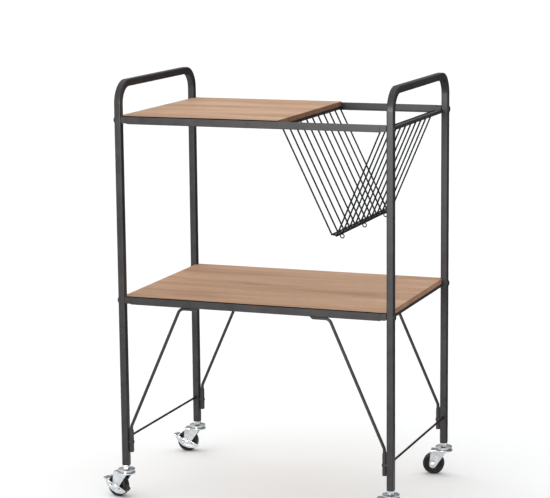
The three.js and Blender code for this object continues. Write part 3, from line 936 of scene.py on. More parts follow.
@dataclass(frozen=True)
class Stem:
    """Hexagon, dished race with a thick rim, the ring round its balls, and the riveted neck."""

    sizes: CasterSizes
    hexagon: float = 12.6 * MM
    hexagon_edge: float = 0.5 * MM
    shank: float = 6.0 * MM
    shank_rise: float = 18.0 * MM
    shank_edge: float = 0.6 * MM
    race: float = 31.0 * MM
    rim: float = 2.2 * MM
    rim_wall: float = 1.1 * MM
    rim_edge: float = 0.35 * MM
    hollow: float = 1.3 * MM
    neck_head: float = 11.0 * MM
    neck_head_height: float = 1.3 * MM
    # Corners of the dish: shares of the race's radius, and of the rim's or the race's rise.
    shoulder: tuple[float, float] = (0.90, 1.06)
    slope: tuple[float, float] = (0.76, 0.84)
    collar: float = 0.62
    edge_steps: int = 3

    def dish(self) -> Outline:
        """The upper race with the ring round its balls.

        Returns:
            Its section.
        """
        sizes = self.sizes
        half, ball, base = self.race / 2, sizes.ball_ring / 2, sizes.race_base
        bottom = sizes.crown_top + sizes.gap
        waist = (bottom + base) / 2
        edge, groove = self.rim_edge, self.rim_edge / 2
        return [
            (sizes.neck / 2, bottom),
            (ball - edge, bottom),
            (ball, bottom + edge),
            (ball, waist - groove),
            (ball - groove, waist),
            (ball, waist + groove),
            (ball, base + self.hollow),
            (half - self.rim_wall, base + self.hollow),
            (half - self.rim_wall, base),
            (half - edge, base),
            (half, base + edge),
            (half, base + self.rim - edge),
            (half - edge, base + self.rim),
            (half * self.shoulder[0], base + self.rim * self.shoulder[1]),
            (half * self.slope[0], base + sizes.race_rise * self.slope[1]),
            (half * self.collar, sizes.hexagon_base),
            (sizes.neck / 2, sizes.hexagon_base),
            (sizes.neck / 2, bottom),
        ]

    def spindle(self) -> Outline:
        """The neck, with its riveted head below and the shank above.

        Returns:
            Its section.
        """
        sizes = self.sizes
        neck, shank, head = sizes.neck / 2, self.shank / 2, self.neck_head / 2
        top = sizes.crown_top - sizes.plate - sizes.gap
        low = top - self.neck_head_height
        high = sizes.height + self.shank_rise
        chamfer = self.neck_head_height / 2
        return [
            (0.0, low),
            (head - chamfer, low),
            (head, top - chamfer),
            (head, top),
            (neck, top),
            (neck, sizes.hexagon_base),
            (shank, sizes.hexagon_base),
            (shank, high - self.shank_edge),
            (shank - self.shank_edge, high),
            (0.0, high),
        ]

    def forms(self) -> list[Form]:
        """The stem: its hexagon, its race and its neck.

        Returns:
            The closed forms.
        """
        sizes = self.sizes
        hexagon = Form.disc(self.hexagon / cos(pi / 6), 6)
        hexagon.place(Matrix.Translation((0, 0, sizes.hexagon_base)))
        hexagon.thicken(Vector((0, 0, sizes.hexagon_height)))
        hexagon.rounded(self.hexagon_edge, self.edge_steps)
        dish = Form.turned(self.dish(), sizes.sides)
        return [hexagon, dish, Form.turned(self.spindle(), sizes.sides // 2)]


@dataclass(frozen=True)
class Fork:
    """The stamped fork under its round crown, whose rim is turned down, and its axle rivet."""

    sizes: CasterSizes
    crown: float = 32.5 * MM
    rim: float = 2.7 * MM
    rim_edge: float = 0.35 * MM
    rim_cut: float = 0.6
    corner: float = 2.6 * MM
    corner_steps: int = 5
    back: float = 4.5 * MM
    front: float = 25.6 * MM
    front_drop: float = 2.4 * MM
    tail: float = 7.8 * MM
    tail_diameter: float = 12.2 * MM
    tail_back: float = 0.6 * MM
    sink: float = 0.15 * MM
    border: float = 1.4 * MM
    slope: float = 0.5 * MM
    emboss: float = 0.35 * MM
    steps: int = 12
    rivet: float = 8.4 * MM
    rivet_height: float = 1.5 * MM
    rivet_steps: int = 5
    rivet_sides: int = 32

    def outline(self, top: float) -> Outline:
        """The legs' outline: a slanted front, a round tail and a nearly upright back.

        Args:
            top: Height of its upper edge.

        Returns:
            Its corners in X and Z.
        """
        sizes = self.sizes
        radius = self.tail_diameter / 2
        tail = (sizes.trail + self.tail_back, sizes.wheel / 2 - self.tail + radius)
        front = (sizes.trail - self.front, sizes.crown_top - self.front_drop)
        run = Vector((tail[0] - front[0], front[1] - tail[1]))
        start = pi + atan2(run.x, run.y) - asin(radius / run.length)
        points = [(front[0], top), front]
        for step in range(self.steps + 1):
            angle = start + (2 * pi - start) * step / self.steps
            points.append((tail[0] + radius * cos(angle), tail[1] + radius * sin(angle)))
        return [*points, (sizes.trail + self.back, top)]

    def legs(self) -> Form:
        """The two legs and the bridge between them, of one folded plate.

        Returns:
            The closed form.
        """
        sizes = self.sizes
        top = sizes.crown_top - self.sink
        fork = Form.outline([Vector((x, -sizes.outside, z)) for x, z in self.outline(top)])
        fork.thicken(Vector((0, 2 * sizes.outside, 0)))
        for y in (-sizes.outside, sizes.outside):
            fork.rounded(self.corner, self.corner_steps, where=lambda edge: on(edge, y=y, z=top))
        fork.bm.normal_update()
        edge_on = [
            face
            for face in fork.bm.faces
            if abs(face.normal.y) < EDGE_ON and face.normal.z < SQUARE
        ]
        bmesh.ops.delete(fork.bm, geom=edge_on, context="FACES")
        for leg in [face for face in fork.bm.faces if abs(face.normal.y) > SQUARE]:
            inset = {"faces": [leg], "use_even_offset": True}
            bmesh.ops.inset_region(fork.bm, thickness=self.border, **inset)
            bmesh.ops.inset_region(fork.bm, thickness=self.slope, depth=self.emboss, **inset)
        bmesh.ops.solidify(fork.bm, geom=fork.bm.faces[:], thickness=sizes.plate)
        return fork.faced()

    def forms(self) -> list[Form]:
        """The fork: its legs and its crown.

        Returns:
            The closed forms.
        """
        sizes = self.sizes
        bore, half, edge = sizes.neck / 2 + sizes.play, self.crown / 2, self.rim_edge
        top, low = sizes.crown_top, sizes.crown_top - self.rim
        disc = [
            (bore, top - sizes.plate),
            (half - sizes.plate, top - sizes.plate),
            (half - sizes.plate, low),
            (half - edge, low),
            (half, low + edge),
            (half, top - 2 * edge),
            (half - edge * self.rim_cut, top - edge * self.rim_cut),
            (half - 2 * edge, top),
            (bore, top),
            (bore, top - sizes.plate),
        ]
        return [self.legs(), Form.turned(disc, sizes.sides)]

    def axle(self, reach: float) -> Form:
        """The axle rivet.

        Args:
            reach: Half its length between the heads.

        Returns:
            The closed form.
        """
        radius, height = self.rivet / 2, self.rivet_height
        turns = [pi / 2 * step / self.rivet_steps for step in range(self.rivet_steps)]
        dome = [(radius * cos(turn), reach + height * sin(turn)) for turn in turns]
        top = [(self.sizes.axle / 2, reach), *dome, (0.0, reach + height)]
        bottom = [(across, -along) for across, along in reversed(top)]
        return Form.turned([*bottom, *top], self.rivet_sides).place(self.sizes.hub)


@dataclass(frozen=True)
class Wheel:
    """The moulded wheel: rounded tread, recessed web with a raised ring, and hub."""

    sizes: CasterSizes
    width: float = 15.0 * MM
    facets: int = 72
    tread_share: float = 0.72
    # Shares of the radius and of half the width, from the hub to the tread.
    hub_shares: Shares = ((0.33, 1.0), (0.35, 0.97), (0.37, 0.80), (0.40, 0.76), (0.53, 0.76))
    ring_shares: Shares = ((0.55, 0.80), (0.57, 0.90), (0.62, 0.90), (0.64, 0.78))
    web_shares: Shares = ((0.66, 0.70), (0.71, 0.68), (0.73, 0.71), (0.80, 0.98), (0.815, 1.0))
    rim_shares: Shares = ((0.86, 1.0), (0.92, 0.96), (0.97, 0.85), (1.0, 0.66))

    def form(self) -> Form:
        """The wheel, whose tread takes the second finish.

        Returns:
            The closed form.
        """
        radius, half = self.sizes.wheel / 2, self.width / 2
        bore = self.sizes.axle / 2 + self.sizes.play
        shares = (*self.hub_shares, *self.ring_shares, *self.web_shares, *self.rim_shares)
        upper = [(bore, half)] + [(across * radius, along * half) for across, along in shares]
        lower = [(across, -along) for across, along in reversed(upper)]
        form = Form.turned([*upper, *lower, upper[0]], self.facets)
        for face in form.bm.faces:
            if face.calc_center_median().xy.length > self.tread_share * radius:
                face.material_index = 1
        return form.place(self.sizes.hub)


@dataclass(frozen=True)
class Lever:
    """The stamped brake lever: two boat-shaped cheeks, pressed in relief, and a ribbed pedal."""

    sizes: CasterSizes
    wall: float = 1.2 * MM
    slack: float = 0.4 * MM
    relief: float = 0.8 * MM
    corner: float = 1.6 * MM
    corner_steps: int = 3
    edge: float = 0.25 * MM
    slot_length: float = 6.0 * MM
    slot_width: float = 3.0 * MM
    slot_rim: float = 0.7 * MM
    slot_rounding: float = 0.49
    slot_rise: float = 0.6
    slot_depth: float = 0.55
    slot_tilt: float = -20.0
    pedal_taper: float = 0.55
    pedal_shift: float = 0.35
    short_tail: float = -0.9
    grip: float = 1.0 * MM
    grips: int = 4
    # Outlines in shares of the wheel's radius, from the axle along the trail and up.
    cheek_top: Shares = ((-1.15, -0.29), (-0.50, 0.02), (0.25, 0.27), (0.94, 0.56))
    cheek_front: Shares = ((1.38, 0.66), (1.11, 0.42), (0.86, -0.05), (0.45, -0.41))
    cheek_foot: Shares = ((-0.10, -0.62), (-0.72, -0.64), (-1.23, -0.40))
    rib_outer: Shares = ((0.86, 0.40), (0.68, -0.02), (0.32, -0.32), (-0.10, -0.48), (-0.70, -0.50))
    rib_inner: Shares = ((-0.70, -0.40), (-0.12, -0.38), (0.24, -0.22), (0.56, 0.06), (0.74, 0.42))
    pedal_shares: Shares = ((1.38, 0.66), (1.34, 0.61), (1.02, 0.51), (0.99, 0.578))
    slot_shares: Shares = ((0.40, 0.12), (-0.52, -0.18))

    @property
    def reach(self) -> float:
        """From the middle to the cheeks' outer faces."""
        return self.sizes.outside + self.slack + self.wall

    def spots(self, shares: Shares, y: float) -> list[Vector]:
        """Places given in shares of the wheel's radius from the axle."""
        radius = self.sizes.wheel / 2
        return [Vector((self.sizes.trail + x * radius, y, radius + z * radius)) for x, z in shares]

    def plate(self, shares: Shares, y: float, by: float) -> Form:
        """An outline with round corners, drawn out to a plate.

        Args:
            shares: The outline.
            y: Where it is drawn.
            by: How far it is drawn out along Y.

        Returns:
            The closed form.
        """
        form = Form.outline(self.spots(shares, y))
        form.bevelled(form.bm.verts[:], self.corner, self.corner_steps, "VERTICES")
        return form.thicken(Vector((0, by, 0))).rounded(self.edge)

    def slot(self, spot: Vector, side: int) -> Form:
        """A pressed oblong eyelet on a cheek, whose sunk floor takes the second finish, black
        plastic, as painted shade.

        Args:
            spot: Its middle.
            side: The cheek's side, -1 or 1.

        Returns:
            The closed form.
        """
        form = Form.tile(self.slot_length, self.slot_width, self.slot_width * self.slot_rounding)
        form.thicken(Vector((0, 0, self.relief * self.slot_rise)))
        floor = form.sunk(form.top(), self.slot_rim, self.relief * self.slot_depth)
        # The black plastic on the sunk floor is painted shade of a hole.
        floor.material_index = 1
        tilt = Matrix.Rotation(side * radians(self.slot_tilt), 4, "Z")
        upright = Matrix.Rotation(-side * pi / 2, 4, "X")
        return form.place(Matrix.Translation(spot) @ upright @ tilt)

    def pedal(self) -> list[Form]:
        """The foot pedal with its grip ribs, drawn to a narrow tongue on the outer side.

        Returns:
            The closed forms.
        """
        form = Form.outline(self.spots(self.pedal_shares, -self.reach))
        form.thicken(Vector((0, 2 * self.reach, 0)))
        tips = self.spots(self.pedal_shares, 0.0)
        for vert in form.bm.verts:
            if min(abs(vert.co.x - tip.x) for tip in tips[:2]) < NEAR:
                vert.co.y = vert.co.y * self.pedal_taper + self.reach * self.pedal_shift
        forms = [form.rounded(self.edge)]
        start, end = tips[3], tips[0]
        slope = Matrix.Rotation(-atan2(end.z - start.z, end.x - start.x), 4, "Y")
        for index in range(self.grips):
            share = (index + 1) / (self.grips + 1)
            width = self.reach * (1 - (1 - self.pedal_taper) * share) - self.grip
            half = Vector((self.grip / 2, width, self.grip / 3))
            rib = Form.box(-half, half).rounded(self.edge)
            spot = start.lerp(end, share)
            spot.y = self.reach * self.pedal_shift * share
            forms.append(rib.place(Matrix.Translation(spot) @ slope))
        return forms

    def forms(self) -> list[Form]:
        """The pedal and both cheeks, of which the far one has a shorter tail.

        Returns:
            The closed forms.
        """
        forms = self.pedal()
        cheek = (*self.cheek_front, *self.cheek_foot, *self.cheek_top)
        short = tuple((max(x, self.short_tail), z) for x, z in cheek)
        for side, shares in ((-1, short), (1, cheek)):
            inner, outer = side * (self.reach - self.wall), side * self.reach
            forms.append(self.plate(shares, inner, side * self.wall))
            rib = (*self.rib_outer, *self.rib_inner)
            root = outer - side * self.wall / 2
            forms.append(self.plate(rib, root, side * (self.relief + self.wall / 2)))
            forms += [self.slot(spot, side) for spot in self.spots(self.slot_shares, outer)]
        return forms


# Pieces


def linked(name: str, data: bpy.types.ID) -> bpy.types.Object:
    """Puts a new object in the scene.

    Args:
        name: Its name.
        data: Its mesh, camera or light.

    Returns:
        The object.
    """
    item = bpy.data.objects.new(name, data)
    bpy.context.scene.collection.objects.link(item)
    return item


@dataclass
class Piece:
    """One object of the trolley: closed forms in one mesh, their finishes and their body.

    The forms' material indices count through the finishes.
    """

    name: str
    nodes: list[str]
    slot: Slot
    finishes: tuple[bpy.types.Material, ...]
    body: str = "frame"
    forms: list[Form] = field(default_factory=list)

    def add(self, *forms: Form) -> None:
        """Adds closed forms."""
        self.forms += forms

    def build(self) -> bpy.types.Object:
        """Joins the forms, smooths them, ties the object to its body and hides the nodes it
        replaces.

        Returns:
            The object.
        """
        joined = Form()
        used: list[bpy.types.Material] = []
        for form in self.forms:
            for face in form.bm.faces:
                finish = self.finishes[face.material_index]
                if finish not in used:
                    used.append(finish)
                face.material_index = used.index(finish)
            part = form.mesh("form")
            joined.bm.from_mesh(part)
            bpy.data.meshes.remove(part)
        mesh = joined.mesh(self.name)
        mesh.shade_smooth()
        mesh.set_sharp_from_angle(angle=SHARP)
        for finish in used:
            mesh.materials.append(finish)
        shown = linked(self.name, mesh)
        weights = shown.modifiers.new("face weights", "WEIGHTED_NORMAL")
        weights.keep_sharp = True
        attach(shown, self.body)
        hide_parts(*self.nodes)
        faces, nodes = len(mesh.polygons), len(self.nodes)
        LOG.info("%s: %d faces for %d nodes on %s", self.name, faces, nodes, self.body)
        return shown


# Sub-assemblies


@dataclass
class EndFrames:
    """The two bent end frames of square tube, each with its low cross rod."""

    finishes: Finishes
    tube: float = 12.7 * MM
    wall: float = 1.4 * MM
    corner: float = 2.0 * MM
    bend: float = 35.65 * MM
    bend_steps: int = 20
    hollow: float = 14.0 * MM
    rod: float = 4.0 * MM
    rod_sides: int = 20
    weld: float = 1.1 * MM
    weld_share: float = 0.78

    def frame(self, side: str) -> bpy.types.Object:
        """One end frame: a tube bent twice, open at its lower ends.

        Args:
            side: "left" or "right".

        Returns:
            The object.
        """
        node = f"end_frame_{side}"
        low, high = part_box(node)
        half = self.tube / 2
        x = middle(low, high).x
        front, back, handle = low.y + half, high.y - half, high.z - half
        line = [(front, low.z), (front, handle), (back, handle), (back, low.z)]
        form = Form.tile(self.tube, self.tube, self.corner)
        form.follow([Vector((x, y, z)) for y, z in line], self.bend, self.bend_steps)
        ends = [
            face
            for face in form.bm.faces
            if face.normal.z < -SQUARE and face.calc_center_median().z < low.z + half
        ]
        for end in ends:
            form.sunk(end, self.wall, self.hollow)
        piece = Piece(f"end_frame_tube_{side}", [node], Slot.PAINT, (self.finishes.paint,))
        piece.add(form)
        return piece.build()

    def cross_rod(self, side: str) -> bpy.types.Object:
        """One cross rod with the weld round each end.

        Args:
            side: "left" or "right".

        Returns:
            The object.
        """
        node = f"cross_rod_{side}"
        low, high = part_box(node)
        centre = middle(low, high)
        ends = [Vector((centre.x, y, centre.z)) for y in (low.y, high.y)]
        bead = Vector((self.rod * self.weld_share, self.weld, self.rod * self.weld_share))
        piece = Piece(f"cross_rod_round_{side}", [node], Slot.PAINT, (self.finishes.wire,))
        piece.add(Form.disc(self.rod, self.rod_sides).follow(ends))
        piece.add(*(Form.bead(end, bead) for end in ends))
        return piece.build()

    def build(self) -> None:
        """Builds both ends."""
        for side in ("left", "right"):
            self.frame(side)
            self.cross_rod(side)


@dataclass
class ShelfFrames:
    """The lower and upper shelf frames: angle rails, strips, nut blocks and their welds."""

    finishes: Finishes
    rail_height: float = 13.0 * MM
    rail_depth: float = 13.0 * MM
    rail_wall: float = 1.5 * MM
    rail_corner: float = 1.0 * MM
    rail_steps: int = 4
    rail_edge: float = 0.25 * MM
    strip_width: float = 8.0 * MM
    strip_gap: float = 0.3 * MM
    strip_edge: float = 0.4 * MM
    block_length: float = 12.4 * MM
    block_lap: float = 1.0 * MM
    block_depth: float = 13.8 * MM
    block_rise: float = 1.2 * MM
    block_top: float = 10.4 * MM
    block_corner: float = 3.0 * MM
    block_steps: int = 6
    support_inset: float = 2.0 * MM
    weld: float = 0.9 * MM
    weld_share: float = 0.45

    def rail(self, low: Vector, high: Vector, end: int) -> Form:
        """One angle rail.

        Args:
            low: The shelf frame's lowest corner, between the posts.
            high: Its highest corner, between the posts.
            end: -1 for the front rail, 1 for the back one.

        Returns:
            The rail.
        """
        face = low.y if end < 0 else high.y
        profile = [
            (self.rail_depth, 0.0),
            (self.rail_depth, self.rail_wall),
            (self.rail_wall, self.rail_wall),
            (self.rail_wall, self.rail_height),
            (0.0, self.rail_height),
            (0.0, 0.0),
        ]
        start = low.x + self.block_length - self.block_lap
        form = Form.outline([Vector((start, face - end * y, low.z + z)) for y, z in profile])
        form.thicken(Vector((low.x + high.x - 2 * start, 0, 0)))
        form.rounded(
            self.rail_corner, self.rail_steps, where=lambda edge: on(edge, y=face, z=low.z)
        )
        return form.rounded(self.rail_edge, above=STEEP)

    def block(self, low: Vector, high: Vector, side: int, end: int) -> Form:
        """One nut block: low behind, as high as the rail in front, and rounded under its end.

        Args:
            low: The shelf frame's lowest corner, between the posts.
            high: Its highest corner, between the posts.
            side: -1 at the left, 1 at the right.
            end: -1 at the front, 1 at the back.

        Returns:
            The block.
        """
        outer = low.x if side < 0 else high.x
        face = low.y if end < 0 else high.y
        base, back = low.z + self.block_rise, low.z + self.block_top
        profile = [
            (0.0, base),
            (self.block_depth, base),
            (self.block_depth, back),
            (self.rail_wall, back),
            (self.rail_wall, high.z),
            (0.0, high.z),
        ]
        form = Form.outline([Vector((outer, face - end * y, z)) for y, z in profile])
        form.thicken(Vector((-side * self.block_length, 0, 0)))
        form.rounded(
            self.block_corner, self.block_steps, where=lambda edge: on(edge, x=outer, z=base)
        )
        return form.rounded(self.rail_edge, above=STEEP)

    def shelf(self, name: str, supports: list[float]) -> bpy.types.Object:
        """One shelf frame.

        Args:
            name: "lower" or "upper".
            supports: X places of its strips.

        Returns:
            The object.
        """
        node = f"{name}_shelf_frame"
        low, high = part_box(node)
        tube_low, tube_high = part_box("end_frame_left")
        right_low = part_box("end_frame_right")[0]
        ends_low = Vector((tube_high.x, low.y, low.z))
        ends_high = Vector((right_low.x, high.y, high.z))
        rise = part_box(f"{name}_board")[0].z
        tube = tube_high.x - tube_low.x + self.strip_gap
        piece = Piece(f"{name}_shelf_rails", [node], Slot.PAINT, (self.finishes.paint,))
        for end in (-1, 1):
            piece.add(self.rail(ends_low, ends_high, end))
            piece.add(*(self.block(ends_low, ends_high, side, end) for side in (-1, 1)))
        half = self.strip_width / 2
        bead = Vector((self.strip_width * self.weld_share, self.weld, self.weld))
        for x in supports:
            beside = x - half < tube_high.x or x + half > ends_high.x
            reach = high.y - (tube if beside else self.rail_depth / 2)
            strip = Form.box(Vector((x - half, -reach, low.z)), Vector((x + half, reach, rise)))
            piece.add(strip.rounded(self.strip_edge))
            for end in (-1, 1):
                spot = (x, end * (high.y - self.rail_depth), low.z + self.rail_wall)
                piece.add(Form.bead(Vector(spot), bead))
        return piece.build()

    def build(self) -> None:
        """Builds both shelf frames."""
        half = self.strip_width / 2
        for name in ("lower", "upper"):
            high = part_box(f"{name}_shelf_frame")[1]
            board_low, board_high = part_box(f"{name}_board")
            supports = [board_low.x + half, board_high.x - half]
            if name == "upper":
                supports[1] -= self.support_inset
                supports.append(high.x - half)
            self.shelf(name, supports)


@dataclass
class Boards:
    """The two laminated boards, notched round the posts and hollowed over the nut blocks."""

    finishes: Finishes
    tube: float = 12.7 * MM
    block_length: float = 12.4 * MM
    block_depth: float = 13.8 * MM
    block_top: float = 10.4 * MM
    margin: float = 0.5 * MM
    rounding: float = 0.9 * MM
    steps: int = 3
    facing: float = 0.9

    def lines(
        self, ends: tuple[float, float], centre: float, reaches: list[float], cut: tuple[int, ...]
    ) -> list[float]:
        """Grid lines along one axis of a board.

        Args:
            ends: Where the board starts and ends.
            centre: The frame's middle.
            reaches: The notches' inner ends, counted from the middle.
            cut: The ends that have notches: -1, 1 or both.

        Returns:
            The lines from the low end to the high end.
        """
        return sorted([*ends, *(centre + end * reach for end in cut for reach in reaches)])

    def board(
        self, name: str, sides: tuple[int, ...], edge: bpy.types.Material
    ) -> bpy.types.Object:
        """One board.

        Args:
            name: "lower" or "upper".
            sides: The sides whose corners are cut: -1 left, 1 right.
            edge: The finish of its banded ends.

        Returns:
            The object.
        """
        node = f"{name}_board"
        low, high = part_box(node)
        rails_low, rails_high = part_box(f"{name}_shelf_frame")
        left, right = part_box("end_frame_left")[1].x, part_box("end_frame_right")[0].x
        centre = Vector(((left + right) / 2, middle(rails_low, rails_high).y, 0))
        post = (right - left) / 2 - self.margin
        deep = rails_high.y - centre.y - self.margin
        reach_x = [post, post - self.block_length]
        reach_y = [deep - self.tube, deep - self.block_depth]
        columns = self.lines((low.x, high.x), centre.x, reach_x, sides)
        rows = self.lines((low.y, high.y), centre.y, reach_y, (-1, 1))
        pocket = rails_low.z + self.block_top + self.margin
        form = Form()
        wide, tall = len(columns) - 1, len(rows) - 1
        bmesh.ops.create_grid(form.bm, x_segments=wide, y_segments=tall, size=0.5)
        for vert in form.bm.verts:
            column, row = round((vert.co.x + 0.5) * wide), round((vert.co.y + 0.5) * tall)
            vert.co = Vector((columns[column], rows[row], pocket))

        def inside(face: BMFace, across: float, along: float) -> bool:
            """Whether a face lies in a notch.

            Args:
                face: The face.
                across: Where the notches start along X, from the middle.
                along: Where they start along Y.

            Returns:
                True in a notch.
            """
            place = face.calc_center_median() - centre
            side = 1 if place.x > 0 else -1
            return side in sides and abs(place.x) > across and abs(place.y) > along

        posts = [face for face in form.bm.faces if inside(face, reach_x[0], reach_y[0])]
        bmesh.ops.delete(form.bm, geom=posts, context="FACES")
        form.thicken(Vector((0, 0, high.z - pocket)))
        form.bm.normal_update()
        under = [
            face
            for face in form.bm.faces
            if face.normal.z < -self.facing and not inside(face, reach_x[1], reach_y[1])
        ]
        around = {part for face in under for part in (*face.edges, *face.verts)}
        form.drawn([*under, *around], Vector((0, 0, low.z - pocket)))
        form.faced().merge_flat(form.bm.edges)
        form.rounded(self.rounding, self.steps, where=lambda side: on(side, z=high.z))
        form.bm.normal_update()
        # The ends take the band finish; the long edges take the near-black copy, which is painted
        # shade.
        for face in form.bm.faces:
            if abs(face.normal.x) > self.facing:
                face.material_index = 1
            elif abs(face.normal.y) > self.facing:
                face.material_index = 2
        finishes = (self.finishes.wood, edge, self.finishes.long_edge_painted_shade)
        piece = Piece(f"{name}_board_panel", [node], Slot.WOOD, finishes)
        piece.add(form)
        return piece.build()

    def build(self) -> None:
        """Builds both boards."""
        # The lower board's end bands take the paler copy, which is painted light.
        self.board("lower", (-1, 1), self.finishes.edge_painted_light)
        self.board("upper", (-1,), self.finishes.edge)


@dataclass
class Basket:
    """The wire basket: two sides of sloping wires that meet on a thicker keel wire with eyes."""

    finishes: Finishes
    wire: float = 3.0 * MM
    count: int = 11
    inset: float = 17.0 * MM
    bend: float = 5.0 * MM
    bend_steps: int = 5
    foot_width: float = 9.4 * MM
    gap: float = 0.3 * MM
    keel: float = 4.2 * MM
    keel_drop: float = 1.2 * MM
    eye: float = 9.0 * MM
    eye_wire: float = 2.0 * MM
    eye_sides: int = 10
    eye_facets: int = 24
    eye_step: int = 4
    sides: int = 12
    rounding: float = 0.2
    # Half sizes of a weld spot, in shares of the wire's radius.
    spot: Triple = (1.265, 1.265, 0.88)

    def rows(self) -> list[float]:
        """Where the sloping wires lie.

        Returns:
            Their places along Y.
        """
        low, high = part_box("lower_shelf_frame")
        centre = middle(low, high).y
        pitch = (high.y - low.y - 2 * self.inset) / (self.count - 1)
        return [centre + (i - (self.count - 1) / 2) * pitch for i in range(self.count)]

    def rod(self, line: Vector, start: float, end: float, diameter: float) -> Form:
        """A wire along Y with slightly rounded ends."""
        ends = [line + Vector((0, y, 0)) for y in (start, end)]
        return self.swept(ends, diameter)

    def swept(self, corners: list[Vector], diameter: float) -> Form:
        """A straight or bent wire with slightly rounded ends."""
        form = Form.disc(diameter, self.sides).follow(corners, self.bend, self.bend_steps)
        return form.rounded(diameter * self.rounding, above=STEEP)

    def weld(self, place: Vector) -> Form:
        """The spot where two wires are welded."""
        return Form.bead(place, Vector(self.spot) * self.wire / 2)

    def left_side(self) -> bpy.types.Object:
        """The basket's left side: straight sloping wires between two long ones.

        Returns:
            The object.
        """
        low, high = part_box("basket_left_side")
        half = self.wire / 2
        top = Vector((low.x + half, 0, high.z - half))
        foot = Vector((high.x - half, 0, low.z + half))
        rows = self.rows()
        finishes = (self.finishes.wire,)
        piece = Piece("basket_wires_left", ["basket_left_side"], Slot.PAINT, finishes)
        piece.add(self.rod(top, low.y, high.y, self.wire))
        piece.add(self.rod(foot, rows[0], rows[-1], self.wire))
        for y in rows:
            ends = [line + Vector((0, y, 0)) for line in (top, foot)]
            piece.add(self.swept(ends, self.wire), *(self.weld(end) for end in ends))
        return piece.build()

    def right_side(self) -> bpy.types.Object:
        """The basket's right side: wires bent flat at the foot, and the keel with its eyes.

        Returns:
            The object.
        """
        low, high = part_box("basket_right_side")
        left_low, left_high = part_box("basket_left_side")
        half = self.wire / 2
        left_foot = Vector((left_high.x - half, 0, left_low.z + half))
        top = Vector((high.x - half, 0, high.z - half))
        foot = left_foot + Vector((self.foot_width, 0, 0))
        start = left_foot + Vector((half + self.gap, 0, 0))
        keel = foot - Vector((self.keel_drop, 0, self.keel_drop))
        rows = self.rows()
        finishes = (self.finishes.wire,)
        piece = Piece("basket_wires_right", ["basket_right_side"], Slot.PAINT, finishes)
        piece.add(self.rod(top, low.y, high.y, self.wire))
        piece.add(self.rod(keel, rows[0] - half, rows[-1] + half, self.keel))
        for y in rows:
            corners = [line + Vector((0, y, 0)) for line in (top, foot, start)]
            piece.add(self.swept(corners, self.wire), self.weld(corners[0]))
            piece.add(self.weld(keel + Vector((0, y, self.keel_drop))))
        drop = self.keel / 2 + self.eye / 2 - self.eye_wire / 2
        centre = (len(rows) - 1) // 2
        for row in (centre - self.eye_step, centre, centre + self.eye_step):
            hung = Matrix.Translation(keel + Vector((0, rows[row], -drop)))
            eye = Form.ring(self.eye, self.eye_wire, self.eye_sides, self.eye_facets)
            piece.add(eye.place(hung @ Matrix.Rotation(pi / 2, 4, "X")))
            piece.add(self.weld(keel + Vector((0, rows[row], -self.keel / 2))))
        return piece.build()

    def build(self) -> None:
        """Builds both sides."""
        self.left_side()
        self.right_side()


